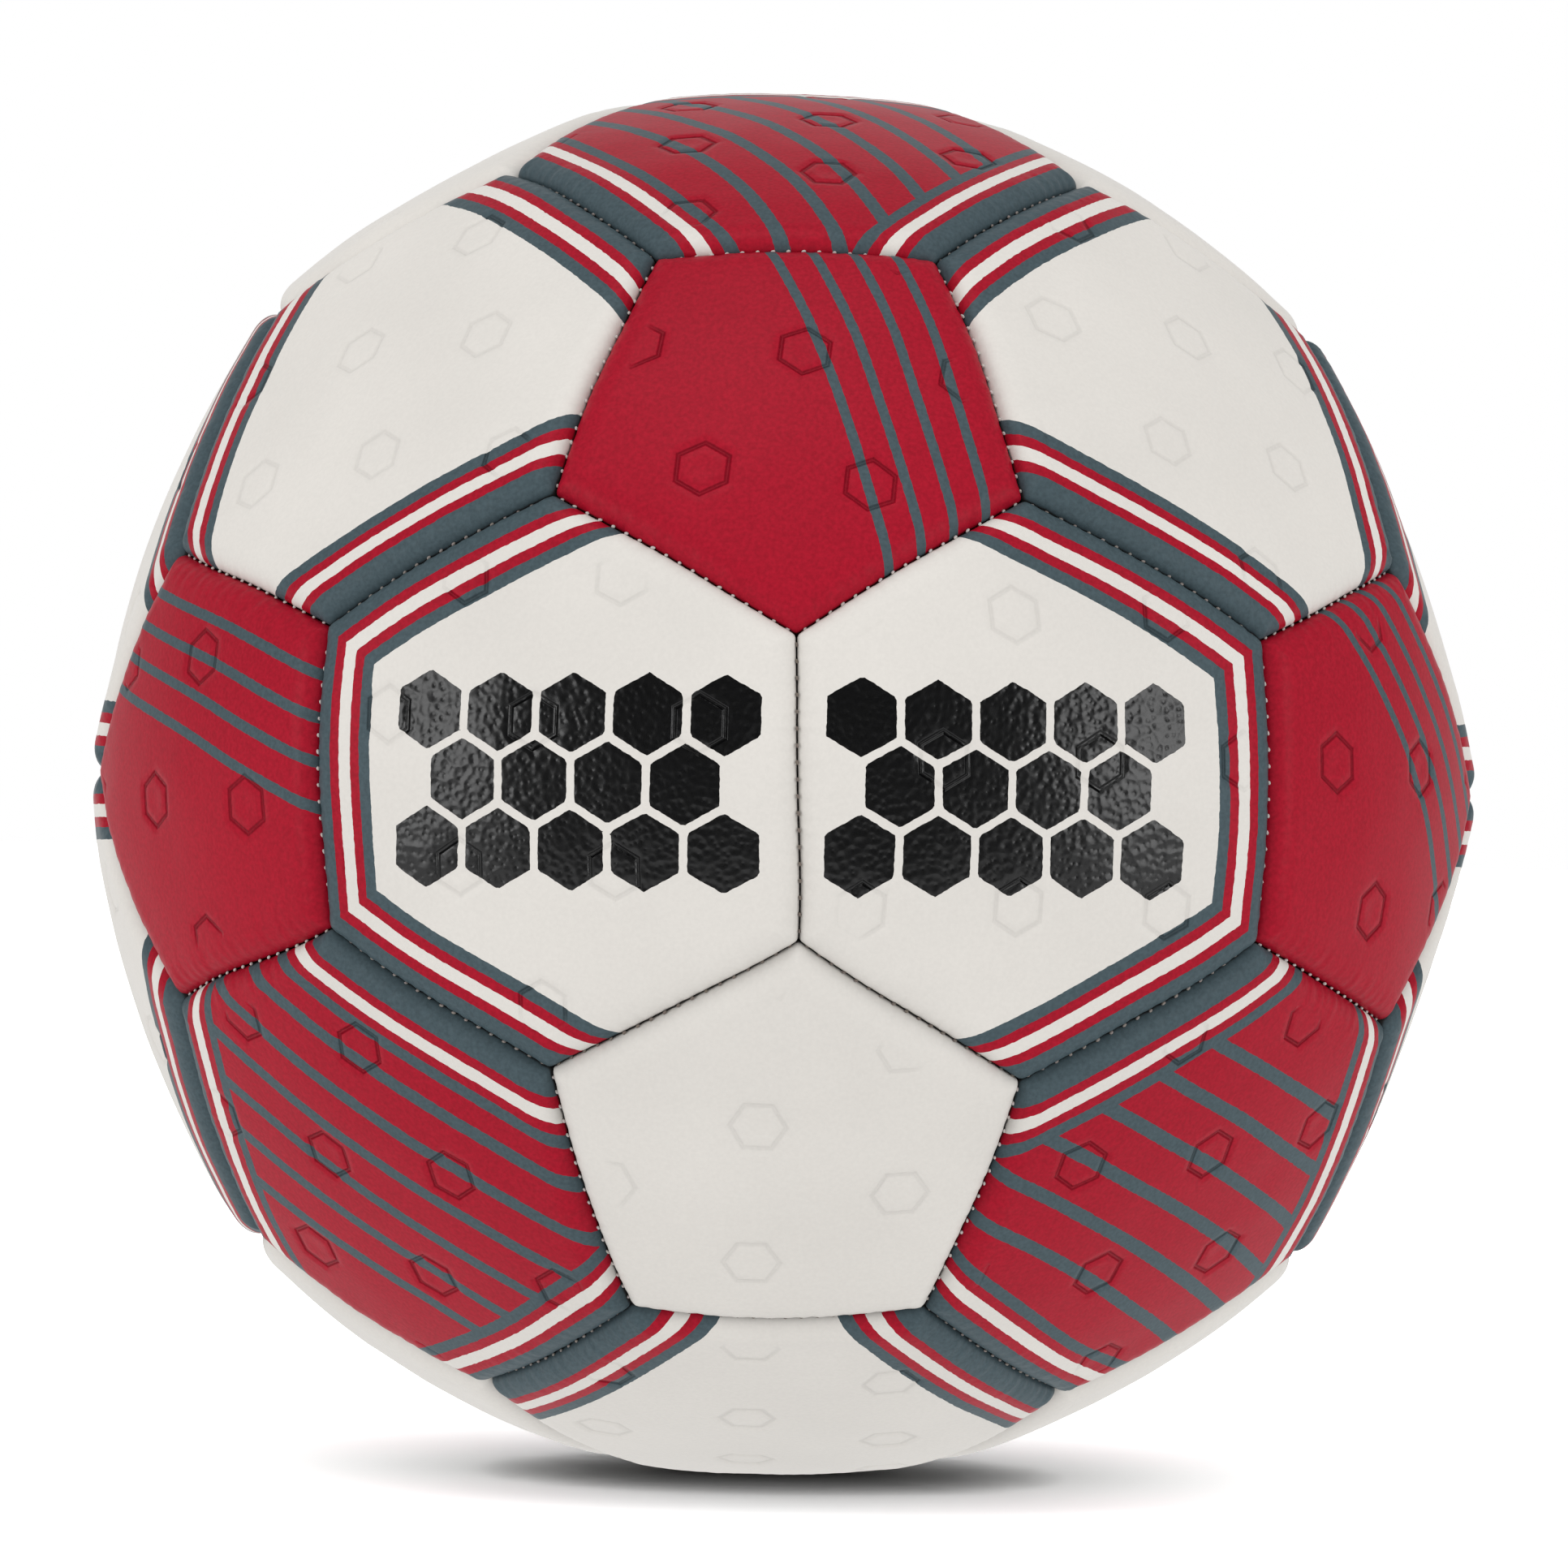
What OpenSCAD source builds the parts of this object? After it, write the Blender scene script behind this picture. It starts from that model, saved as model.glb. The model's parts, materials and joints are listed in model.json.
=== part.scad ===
// Stitched handball of thirty-two panels: twelve pentagons and twenty hexagons.
// Each panel is a leather sheet with its edges turned in, filled with foam and
// closed by a textile backing. The panels are sewn edge to edge over a blown-up
// rubber bladder, which has one valve. Millimetres, +Z up, the front is -Y, and
// the origin is the middle of the ball.

/* [Ball] */
// Length of a tape round the blown-up ball
tape_length = 590; // [460:1:600]
// Height of the crest where two crowns would meet, above the taped radius
crest_rise = 0.6; // [0:0.1:1]
// Depth of the middle of a hexagon below the crest
hexagon_sag = 2.1; // [1:0.1:3]
// Depth of the middle of a pentagon below the crest
pentagon_sag = 0.7; // [0.3:0.1:1.5]

/* [Panels] */
// Thickness of the leather, also where it is turned in at a seam
leather_t = 1.3; // [0.8:0.1:1.8]
// Thickness of the foam under the middle of a hexagon
foam_t = 2.5; // [1:0.1:4]
// Thickness of the textile backing
backing_t = 1; // [0.5:0.1:2]
// Thickness of the glue between the layers of a panel
glue_t = 0.1; // [0.05:0.05:0.2]

/* [Seams] */
// Gap between the turned-in edges of two panels
seam_gap = 0.3; // [0.1:0.05:0.5]
// Radius of the round shoulder along each edge of a panel
shoulder_r = 3.5; // [2.5:0.1:4.5]
// How far the tip of each corner of a panel is cut back
corner_trim = 0.5; // [0.4:0.05:1]
// Diameter of the seam thread
thread_d = 0.7; // [0.4:0.05:1]
// Clearance between the thread and the two shoulders that it lies on
thread_clearance = 0.1; // [0.05:0.05:0.3]
// Distance from the end of a thread to the corner where three panels meet
thread_stop = 1.6; // [1.2:0.1:3]

/* [Bladder] */
// Thickness of the bladder's wall
bladder_t = 1.2; // [0.8:0.1:2]
// Clearance between the bladder and the panels
bladder_clearance = 0.3; // [0.1:0.05:0.5]

/* [Valve] */
// Diameter of the valve's neck, which fills a hole in one panel
neck_d = 8; // [7.4:0.1:10]
// Clearance round the neck in the cover and the bladder
neck_clearance = 0.2; // [0.1:0.05:0.4]
// Depth of the neck's top below the leather round it
neck_recess = 0.4; // [0.1:0.1:0.8]
// Diameter of the flange glued inside the bladder
flange_d = 28; // [18:1:34]
// Thickness of that flange
flange_t = 1.5; // [1:0.1:2.5]
// Diameter of the bulb under the flange
bulb_d = 11; // [10.4:0.1:14]
// Length of the bulb below the flange
bulb_l = 9; // [7:0.5:12]
// Diameter of the self-sealing core in the neck
core_d = 4.6; // [4.2:0.1:5]
// Depth of the core's top below the neck's top
core_recess = 1.6; // [0.8:0.1:3]
// Clearance round the core
core_clearance = 0.1; // [0.05:0.05:0.2]
// Width of the ring that holds the core in the bulb
core_ring_w = 1; // [0.6:0.1:1.4]
// Height of that ring
core_ring_h = 1.6; // [1:0.1:2.4]
// Diameter of the channel for the pump's needle
needle_hole_d = 2.2; // [1.6:0.1:2.6]

/* [Hidden] */
$fn = 180;
RED = "#B01E33";
WHITE = "#E4E2DC";
NATURAL = "#C9C1AF";
CREAM = "#D9CFA8";
BLACK = "#26272A";
GREY = "#8A8D90";

PENTAGON = 5;
HEXAGON = 6;
golden = (1 + sqrt(5)) / 2;
inverse = 1 / golden;

// Name, direction of the middle, number of sides and colour of each panel.
// The pentagons point at the corners of an icosahedron, the hexagons at those
// of a dodecahedron.
PANELS = [
    ["pentagon_front_upper",       [0, -golden, 1],        PENTAGON, RED],
    ["pentagon_front_lower",       [0, -golden, -1],       PENTAGON, WHITE],
    ["pentagon_back_upper",        [0, golden, 1],         PENTAGON, RED],
    ["pentagon_back_lower",        [0, golden, -1],        PENTAGON, WHITE],
    ["pentagon_right_front",       [golden, -1, 0],        PENTAGON, RED],
    ["pentagon_left_front",        [-golden, -1, 0],       PENTAGON, RED],
    ["pentagon_right_back",        [golden, 1, 0],         PENTAGON, RED],
    ["pentagon_left_back",         [-golden, 1, 0],        PENTAGON, RED],
    ["pentagon_top_right",         [1, 0, golden],         PENTAGON, WHITE],
    ["pentagon_top_left",          [-1, 0, golden],        PENTAGON, WHITE],
    ["pentagon_bottom_right",      [1, 0, -golden],        PENTAGON, WHITE],
    ["pentagon_bottom_left",       [-1, 0, -golden],       PENTAGON, WHITE],
    ["hexagon_front_right",        [inverse, -golden, 0],  HEXAGON, WHITE],
    ["hexagon_front_left",         [-inverse, -golden, 0], HEXAGON, WHITE],
    ["hexagon_back_right",         [inverse, golden, 0],   HEXAGON, WHITE],
    ["hexagon_back_left",          [-inverse, golden, 0],  HEXAGON, WHITE],
    ["hexagon_top_front",          [0, -inverse, golden],  HEXAGON, RED],
    ["hexagon_top_back",           [0, inverse, golden],   HEXAGON, RED],
    ["hexagon_bottom_front",       [0, -inverse, -golden], HEXAGON, WHITE],
    ["hexagon_bottom_back",        [0, inverse, -golden],  HEXAGON, WHITE],
    ["hexagon_right_upper",        [golden, 0, inverse],   HEXAGON, WHITE],
    ["hexagon_right_lower",        [golden, 0, -inverse],  HEXAGON, WHITE],
    ["hexagon_left_upper",         [-golden, 0, inverse],  HEXAGON, WHITE],
    ["hexagon_left_lower",         [-golden, 0, -inverse], HEXAGON, WHITE],
    ["hexagon_front_right_upper",  [1, -1, 1],             HEXAGON, WHITE],
    ["hexagon_front_left_upper",   [-1, -1, 1],            HEXAGON, WHITE],
    ["hexagon_front_right_lower",  [1, -1, -1],            HEXAGON, RED],
    ["hexagon_front_left_lower",   [-1, -1, -1],           HEXAGON, RED],
    ["hexagon_back_right_upper",   [1, 1, 1],              HEXAGON, WHITE],
    ["hexagon_back_left_upper",    [-1, 1, 1],             HEXAGON, WHITE],
    ["hexagon_back_right_lower",   [1, 1, -1],             HEXAGON, RED],
    ["hexagon_back_left_lower",    [-1, 1, -1],            HEXAGON, RED],
];
VALVE_PANEL = "hexagon_back_right";

function unit(v) = v / norm(v);
function axis(panel) = unit(panel[1]);
function sides(panel) = panel[2];
function angle_between(u, v) = acos(unit(u) * unit(v));

// Two panels that touch are less than this many degrees apart
neighbour_angle = 50;
function neighbours(panel) = [
    for (other = PANELS)
        if (other != panel && angle_between(panel[1], other[1]) < neighbour_angle) other
];

// Three panels meet at a third of the way from one pentagon's middle to the next
corner_share = 1 / 3;
first_pentagon = axis(PANELS[0]);
second_pentagon = axis(PANELS[1]);
third_pentagon = axis(PANELS[4]);
first_corner = unit((1 - corner_share) * first_pentagon + corner_share * second_pentagon);
second_corner = unit((1 - corner_share) * first_pentagon + corner_share * third_pentagon);
seam_angle = angle_between(first_corner, second_corner);
pentagon_edge_angle = angle_between(first_pentagon, first_corner + second_corner);
first_hexagon = axis(PANELS[12]);
hexagon_edge_angle = angle_between(first_pentagon, first_hexagon) - pentagon_edge_angle;

// Degrees from a panel's middle to the middle of its seam with a neighbour
function edge_angle(panel, other) =
    sides(panel) == PENTAGON ? pentagon_edge_angle
    : sides(other) == PENTAGON ? hexagon_edge_angle
    : angle_between(axis(panel), axis(other)) / 2;

// A seam's frame: the direction of its middle, and its plane's normal towards the panel
function seam_middle(panel, other) =
    let (a = axis(panel), across = unit(axis(other) - (a * axis(other)) * a),
         turn = edge_angle(panel, other))
    a * cos(turn) + across * sin(turn);
function seam_normal(panel, other) =
    let (a = axis(panel), m = seam_middle(panel, other))
    unit(a - (a * m) * m);

// A panel's corners, each as the two neighbours that meet there, and the direction of each
function corners(panel) =
    let (around = neighbours(panel))
    [
        for (i = [0 : len(around) - 1], j = [i + 1 : 1 : len(around) - 1])
            if (angle_between(around[i][1], around[j][1]) < neighbour_angle)
                [around[i], around[j]]
    ];
function corner_direction(panel, pair) =
    let (line = cross(seam_normal(panel, pair[0]), seam_normal(panel, pair[1])))
    unit(line * axis(panel) > 0 ? line : -line);

// Crowns
crest_r = tape_length / (2 * PI) + crest_rise;
hexagon_top_r = crest_r - hexagon_sag;
pentagon_top_r = crest_r - pentagon_sag;
function top_r(panel) = sides(panel) == PENTAGON ? pentagon_top_r : hexagon_top_r;
function widest_angle(panel) =
    sides(panel) == PENTAGON ? pentagon_edge_angle : hexagon_edge_angle;
// Radius of the crown that is top_r high in the middle and reaches the crest at its edges
function crown_r(panel) =
    let (half_width = crest_r * sin(widest_angle(panel)),
         rise = top_r(panel) - crest_r * cos(widest_angle(panel)))
    (half_width ^ 2 + rise ^ 2) / (2 * rise);

// Shoulders: a round about each seam's axis, which ends in a straight run-out
shoulder_trim_share = 0.09;
round_end_angle = 3;
run_out_angle = 12;
run_out_start_share = 0.15;
run_out_l = 3 * shoulder_r;
// The round dips this far past the seam face, so that the two meet at an edge
shoulder_dip = 0.1;
shoulder_centre_r = crest_r - (1 + shoulder_trim_share) * shoulder_r;
shoulder_centre_h = seam_gap / 2 + shoulder_r - shoulder_dip;
bevel_angle = 45;
bevel_reach_share = 1.4;
overrun_share = 1.2;
outside_r = overrun_share * crest_r;
rim_angle = overrun_share * seam_angle;

// Layers below the leather
fill_inset = leather_t + glue_t;
cover_in_r = hexagon_top_r - leather_t - foam_t - backing_t - 2 * glue_t;
backing_out_r = cover_in_r + backing_t;
foam_in_r = backing_out_r + glue_t;
// The foam has straight sides, which stop short of the shoulders
foam_side_share = 1.3;
foam_side_inset = foam_side_share * shoulder_r;
// The backing has sharp corners, which stay clear of the leather's cut corners
backing_trim_share = 0.9;
backing_side_inset = fill_inset + backing_trim_share * corner_trim;
bladder_r = cover_in_r - bladder_clearance;
bladder_in_r = bladder_r - bladder_t;

// Threads
thread_r = thread_d / 2;
thread_reach = shoulder_r + thread_r + thread_clearance;
thread_centre_r = shoulder_centre_r + sqrt(thread_reach ^ 2 - shoulder_centre_h ^ 2);
thread_angle = seam_angle - 2 * atan(thread_stop / thread_centre_r);

// Valve
neck_top_r = hexagon_top_r - neck_recess;
neck_hole_r = neck_d / 2 + neck_clearance;
flange_out_r = bladder_in_r - glue_t;
flange_in_r = flange_out_r - flange_t;
bulb_end_r = flange_in_r - bulb_l;
core_top_r = neck_top_r - core_recess;
core_hole_r = core_d / 2 + core_clearance;
core_ring_r = bulb_end_r + bulb_l / 2;

// Puts +Z along a direction from the middle of the ball
module along(direction) {
    d = unit(direction);
    rotate([0, acos(d.z), atan2(d.y, d.x)]) children();
}

// Turns +X and +Z to two directions that are square to each other
module facing(x, z) {
    y = cross(z, x);
    multmatrix([[x.x, y.x, z.x, 0], [x.y, y.y, z.y, 0], [x.z, y.z, z.z, 0], [0, 0, 0, 1]])
        children();
}

// Puts +X at the middle of a seam and +Z square to its plane, towards the panel
module on_seam(panel, other) {
    facing(seam_middle(panel, other), seam_normal(panel, other)) children();
}

// What the round shoulder takes off along one edge, in the seam's frame
module edge_round(inset) {
    round_r = shoulder_r - inset;
    centre = [shoulder_centre_r, shoulder_centre_h];
    run_out = [sin(run_out_angle), cos(run_out_angle)];
    round_end = centre + round_r * [cos(round_end_angle), -sin(round_end_angle)];
    run_out_end = round_end + run_out_l * run_out;
    rotate([0, 0, -rim_angle / 2])
        rotate_extrude(angle = rim_angle)
            difference() {
                polygon([[shoulder_centre_r, -shoulder_r], [outside_r, -shoulder_r],
                         [outside_r, run_out_end.y], run_out_end,
                         round_end - run_out_start_share * round_r * run_out, centre]);
                translate(centre) circle(r = round_r);
            }
}

// What a straight bevel takes off along one edge. It touches the round that is drawn in as far
module edge_bevel(inset) {
    round_r = shoulder_r - inset;
    middle = [shoulder_centre_r, shoulder_centre_h] + round_r * [cos(bevel_angle), -sin(bevel_angle)];
    reach = round_r * [sin(bevel_angle), cos(bevel_angle)] * bevel_reach_share;
    rotate([0, 0, -rim_angle / 2])
        rotate_extrude(angle = rim_angle)
            polygon([middle - reach, [outside_r, (middle - reach).y],
                     [outside_r, (middle + reach).y], middle + reach]);
}

// The space above a height, from the ball's middle out along +X
module space_above(height) {
    translate([0, -outside_r / 2, height]) cube(outside_r);
}

// The space on a panel's side of one seam
module inside_edge(panel, other, inset) {
    on_seam(panel, other) space_above(seam_gap / 2 + inset);
}

// The space on a panel's side of the cut across one corner, which is square to the corner's line
module inside_corner(panel, pair, inset) {
    x = corner_direction(panel, pair);
    z = unit(axis(panel) - (axis(panel) * x) * x);
    corner_reach = (seam_gap / 2 + inset) / (seam_normal(panel, pair[0]) * z);
    facing(x, z) space_above(corner_reach + corner_trim);
}

// The space between a panel's sides, which are drawn in by inset
module between_sides(panel, inset) {
    intersection_for(other = neighbours(panel)) inside_edge(panel, other, inset);
}

// The sphere that crowns a panel, lowered by depth
module crown(panel, depth) {
    translate(axis(panel) * (top_r(panel) - crown_r(panel)))
        sphere(r = crown_r(panel) - depth);
}

// A panel down to the middle of the ball, drawn in evenly, with shoulders that are cut one edge
// after another. They are round outside, and bevelled inside, where the leather is glued
module crowned_form(panel, inset, edges = undef) {
    around = neighbours(panel);
    left = is_undef(edges) ? len(around) : edges;
    if (left == 0)
        intersection() {
            crown(panel, inset);
            between_sides(panel, inset);
            intersection_for(pair = corners(panel)) inside_corner(panel, pair, inset);
        }
    else
        difference() {
            crowned_form(panel, inset, left - 1);
            on_seam(panel, around[left - 1])
                if (inset == 0) edge_round(inset); else edge_bevel(inset);
        }
}

// The hole for the valve's neck, in the panel that has it
module neck_hole(panel) {
    if (panel[0] == VALVE_PANEL) along(axis(panel)) cylinder(h = outside_r, r = neck_hole_r);
}

module leather(panel) {
    color(panel[3])
        difference() {
            crowned_form(panel, 0);
            crowned_form(panel, leather_t);
            sphere(r = cover_in_r);
            neck_hole(panel);
        }
}

module foam(panel) {
    difference() {
        intersection() {
            crown(panel, fill_inset);
            between_sides(panel, foam_side_inset);
        }
        sphere(r = foam_in_r);
        neck_hole(panel);
    }
}

module backing(panel) {
    difference() {
        intersection() {
            sphere(r = backing_out_r);
            between_sides(panel, backing_side_inset);
        }
        sphere(r = cover_in_r);
        neck_hole(panel);
    }
}

module pentagon_foams() {
    color(NATURAL) for (panel = PANELS) if (sides(panel) == PENTAGON) foam(panel);
}

module hexagon_foams() {
    color(NATURAL) for (panel = PANELS) if (sides(panel) == HEXAGON) foam(panel);
}

module pentagon_backings() {
    color(CREAM) for (panel = PANELS) if (sides(panel) == PENTAGON) backing(panel);
}

module hexagon_backings() {
    color(CREAM) for (panel = PANELS) if (sides(panel) == HEXAGON) backing(panel);
}

// The thread along one seam
module seam_thread(panel, other) {
    on_seam(panel, other)
        rotate([0, 0, -thread_angle / 2])
            rotate_extrude(angle = thread_angle)
                translate([thread_centre_r, 0]) circle(r = thread_r);
}

module pentagon_seam_threads() {
    color(GREY)
        for (panel = PANELS) if (sides(panel) == PENTAGON)
            for (other = neighbours(panel)) seam_thread(panel, other);
}

// Each seam between two hexagons is met from both sides, and is sewn once
module hexagon_seam_threads() {
    color(GREY)
        for (i = [0 : len(PANELS) - 1], j = [0 : len(PANELS) - 1])
            if (i < j && sides(PANELS[i]) == HEXAGON && sides(PANELS[j]) == HEXAGON
                && angle_between(axis(PANELS[i]), axis(PANELS[j])) < neighbour_angle)
                seam_thread(PANELS[i], PANELS[j]);
}

// Draws in the valve's frame: +Z outwards, through the middle of its panel
module at_valve() {
    for (panel = PANELS) if (panel[0] == VALVE_PANEL) along(axis(panel)) children();
}

module tube_between(low_r, high_r, r) {
    translate([0, 0, low_r]) cylinder(h = high_r - low_r, r = r);
}

module bladder() {
    color(BLACK)
        difference() {
            sphere(r = bladder_r);
            sphere(r = bladder_in_r);
            at_valve() cylinder(h = outside_r, r = neck_hole_r);
        }
}

module core_body(clearance) {
    tube_between(bulb_end_r, core_top_r, core_d / 2 + clearance);
    tube_between(core_ring_r - core_ring_h / 2 - clearance,
                 core_ring_r + core_ring_h / 2 + clearance,
                 core_d / 2 + core_ring_w + clearance);
}

module valve_body() {
    color(BLACK)
        at_valve()
            difference() {
                union() {
                    tube_between(flange_in_r, neck_top_r, neck_d / 2);
                    tube_between(bulb_end_r, flange_in_r, bulb_d / 2);
                    intersection() {
                        difference() {
                            sphere(r = flange_out_r);
                            sphere(r = flange_in_r);
                        }
                        cylinder(h = outside_r, r = flange_d / 2);
                    }
                }
                core_body(core_clearance);
                tube_between(bulb_end_r - outside_r, outside_r, core_hole_r);
            }
}

module valve_core() {
    color(GREY)
        at_valve()
            difference() {
                core_body(0);
                cylinder(h = outside_r, r = needle_hole_d / 2);
            }
}

for (panel = PANELS) leather(panel);
pentagon_foams();
hexagon_foams();
pentagon_backings();
hexagon_backings();
pentagon_seam_threads();
hexagon_seam_threads();
bladder();
valve_body();
valve_core();
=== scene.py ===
"""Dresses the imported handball: sewn leather panels with their print, stitches, inner layers, a stage.

The ball has twelve pentagons and twenty hexagons. Each one is a shell of leather whose crown,
round shoulders and turned-in sides follow one rule, which a node tree applies to a grid of
directions. Lengths are in metres, +Z is up and the front looks along -Y.
"""

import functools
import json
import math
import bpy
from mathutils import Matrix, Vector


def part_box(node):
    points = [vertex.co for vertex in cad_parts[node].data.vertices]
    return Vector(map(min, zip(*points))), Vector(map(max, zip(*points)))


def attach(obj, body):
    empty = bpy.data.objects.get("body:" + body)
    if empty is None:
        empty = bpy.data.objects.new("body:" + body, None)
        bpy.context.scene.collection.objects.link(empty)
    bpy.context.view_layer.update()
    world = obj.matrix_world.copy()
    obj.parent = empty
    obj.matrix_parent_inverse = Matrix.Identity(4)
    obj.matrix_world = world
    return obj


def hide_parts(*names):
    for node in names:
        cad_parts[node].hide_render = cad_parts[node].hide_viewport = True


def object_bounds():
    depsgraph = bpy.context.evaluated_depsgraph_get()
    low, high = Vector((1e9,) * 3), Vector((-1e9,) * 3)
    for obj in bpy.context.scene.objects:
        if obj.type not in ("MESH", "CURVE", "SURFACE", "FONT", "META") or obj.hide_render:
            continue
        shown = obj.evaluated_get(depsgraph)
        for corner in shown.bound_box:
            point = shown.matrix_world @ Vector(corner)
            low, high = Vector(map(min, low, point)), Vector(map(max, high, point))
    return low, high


bl_info = {
    "name": "Stitched handball",
    "version": (1, 0, 0),
    "blender": (4, 5, 0),
    "location": "View3D > Sidebar > Handball",
    "description": "Sewn leather panels, stitches and materials around a packed handball",
    "category": "Object",
}

import bmesh
import bpy
import numpy as np
from mathutils import Matrix, Vector

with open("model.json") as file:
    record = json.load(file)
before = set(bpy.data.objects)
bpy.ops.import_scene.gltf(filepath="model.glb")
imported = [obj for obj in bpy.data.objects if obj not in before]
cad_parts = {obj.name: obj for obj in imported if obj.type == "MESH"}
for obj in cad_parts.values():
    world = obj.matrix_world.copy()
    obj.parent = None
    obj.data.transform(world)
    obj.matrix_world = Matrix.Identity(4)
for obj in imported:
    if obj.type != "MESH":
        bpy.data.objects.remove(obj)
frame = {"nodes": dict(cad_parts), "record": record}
CAD_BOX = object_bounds()
SLOTS = {part["node"]: part["material_slot"] for part in frame["record"]["subparts"]}

MM = 0.001
GOLDEN = (1 + math.sqrt(5)) / 2

# Sizes of the frame, as the part's source has them
CREST_R = 94.5 * MM
TOP_R = {5: 93.8 * MM, 6: 92.4 * MM}
COVER_IN_R = 87.4 * MM
FOAM_IN_R = 88.5 * MM
FOAM_DEPTH = 1.4 * MM
SEAM_GAP = 0.1 * MM
NECK_HOLE_R = 4.3 * MM
VALVE_PANEL = "hexagon_back_right"
FRONT_PAIRS = ("hexagon_front_right", "hexagon_front_left", "hexagon_back_right", "hexagon_back_left")

# Angles from the middle of the ball
EDGE_ANGLE = {5: math.radians(16.472), 6: math.radians(20.905)}
NEIGHBOUR_ANGLE = math.radians(50)

# Two panels that show at the right are stuffed less, and two at the left unevenly
FLATTER_TOP_R = 91.0 * MM
FLATTER = ("hexagon_right_upper", "hexagon_right_lower")
SLACK = {"hexagon_left_upper": 0.2 * MM, "hexagon_left_lower": -0.4 * MM}

# Corners of the seams, each by its pentagon and its two hexagons, and how far they lie to the
# right of and above the true ones, in millimetres
CORNER_SHIFTS = (
    ("front_upper", "front_right", "front_left", 0.2, 0.2),
    ("front_lower", "front_right", "front_left", 1.2, -0.6),
    ("front_upper", "front_left", "front_left_upper", -0.4, -1.3),
    ("front_upper", "front_right", "front_right_upper", -1.7, -0.6),
    ("front_upper", "top_front", "front_left_upper", 0.3, -0.6),
    ("front_upper", "top_front", "front_right_upper", -1.3, -0.4),
    ("front_lower", "front_left", "front_left_lower", 0.6, 1.1),
    ("front_lower", "front_right", "front_right_lower", -0.7, 0.6),
    ("front_lower", "bottom_front", "front_left_lower", -0.3, 0.4),
    ("front_lower", "bottom_front", "front_right_lower", -0.1, 0.9),
    ("left_front", "front_left_upper", "front_left", 1.3, 0.7),
    ("left_front", "front_left_lower", "front_left", 2.6, -0.8),
    ("right_front", "front_right_upper", "front_right", -0.9, 0.8),
    ("right_front", "front_right_lower", "front_right", -0.7, 0.0),
    ("left_front", "left_upper", "front_left_upper", -0.4, -1.5),
    ("left_front", "left_lower", "front_left_lower", 0.8, 1.0),
    ("right_front", "right_upper", "front_right_upper", -0.8, -0.9),
    ("right_front", "right_lower", "front_right_lower", -0.8, 0.3),
)
SHIFT_REACH = 15 * MM

# How far the ball stands out at every twelve degrees round the side that faces the front,
# from the right and over the top, in millimetres
OUT_OF_ROUND = (
    (-0.9, -1.1, -1.0, -1.2, -1.4, -1.1, -0.9, -0.6, -0.5, -0.1, -0.1, 0.6, 0.5, 0.2, -0.7)
    + (-0.8, -0.1, 0.2, 0.8, 1.1, 0.9, 0.3, 0.1, 0.0, 0.2, 0.5, 1.0, 1.0, 0.2, -1.2)
)
OUT_OF_ROUND_REACH = 17 * MM

# Rings of the grid: crown rings from the middle out, rows over the shoulder and down the side,
# angles in degrees round the leather's inner shoulder, and rings under the crown
CROWN_RINGS = {5: 44, 6: 56}
SHOULDER_ROWS = 15
WALL_ROWS = 3
INNER_TURNS = (30, 60, 90)
INNER_RINGS = 6
HOLE_RING = 8
FEWEST_IN_RING = 4
TABLE_TURNS = 241
TABLE_ANGLES = 500
CORNER_R = 0.9 * MM
SHARP_ANGLE = math.radians(60)

# Relief: how far each form reaches from a seam, the pleats' own sizes, and the scale of the
# noise of the swell and the wander on a ball of radius 1
FLATTENING_REACH = 11 * MM
DIMPLE_REACH = 1.6 * MM
PLEAT_REACH = 3.2 * MM
PLEAT_PITCH = 2.4 * MM
PLEAT_LENGTH = 9 * MM
UNEVEN_SCALE = 4.5

# Bars of a red panel: distance of the first from its seam, pitch and number, and the
# direction that this seam faces; tiles in each row of the black band on one front hexagon
BARS = {5: (6 * MM, 5.2 * MM, 4), 6: (14 * MM, 7.4 * MM, 6)}
BARS_LEAN = Vector((0.7, 0, 0.7))
TILE_COLUMNS = {-1: 5, 0: 4, 1: 5}
# How far to the side a border's outer neighbour lies, and a distance beyond every print
OUTER_X = 0.8
FAR = 1.0

# Pressed marks: their start on a panel as shares of their pitch, their bare margin along a seam,
# and how deep the hollow and the thick ink leave them
MARK_START_SHARES = (0.31, 0.17)
MARK_MARGIN = 4 * MM
HOLLOW_REACH = 1.15
HOLLOW_SHARE = 0.35
MARK_IN_INK_SHARE = 0.4

# Stitches: how far they stand proud between the front pair or lie low between other hexagons,
# their slant, and the range of their random sizes
PROUD = 0.45 * MM
LOW = 0.1 * MM
STITCH_SLANT = 0.35
STITCH_LEAST = (0.8, 0.85, 0.85)
STITCH_MOST = (1.15, 1.1, 1.1)

# Stage: half the floor's side, turn of the ball in the picture as a rotation vector, how far
# the camera sits below the ball's middle, between which depths the mirrored table fades,
# and how near and how dark the painted contact shadow is
FLOOR_REACH = 6.0
PICTURE_TURN = Vector((0.0054, 0.019, 0.0114))
CAMERA_DROP = 0.27 * MM
TABLE_FADE = (-0.6, -0.3)
CONTACT_REACH = 8 * MM
CONTACT_SHARE = 0.85

MATH = "ShaderNodeMath"
VECTOR = "ShaderNodeVectorMath"
NOISE = "ShaderNodeTexNoise"
MIX = "ShaderNodeMix"
READ = "GeometryNodeInputNamedAttribute"
# Inputs of a ramp: value, lowest and highest, and what those two give
RAMP = "ShaderNodeMapRange"
SMOOTH = {"interpolation_type": "SMOOTHSTEP"}
COLOURS = {"data_type": "RGBA"}
NUMBERS = {"data_type": "FLOAT"}
WHITE = (1.0, 1.0, 1.0, 1.0)


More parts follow.
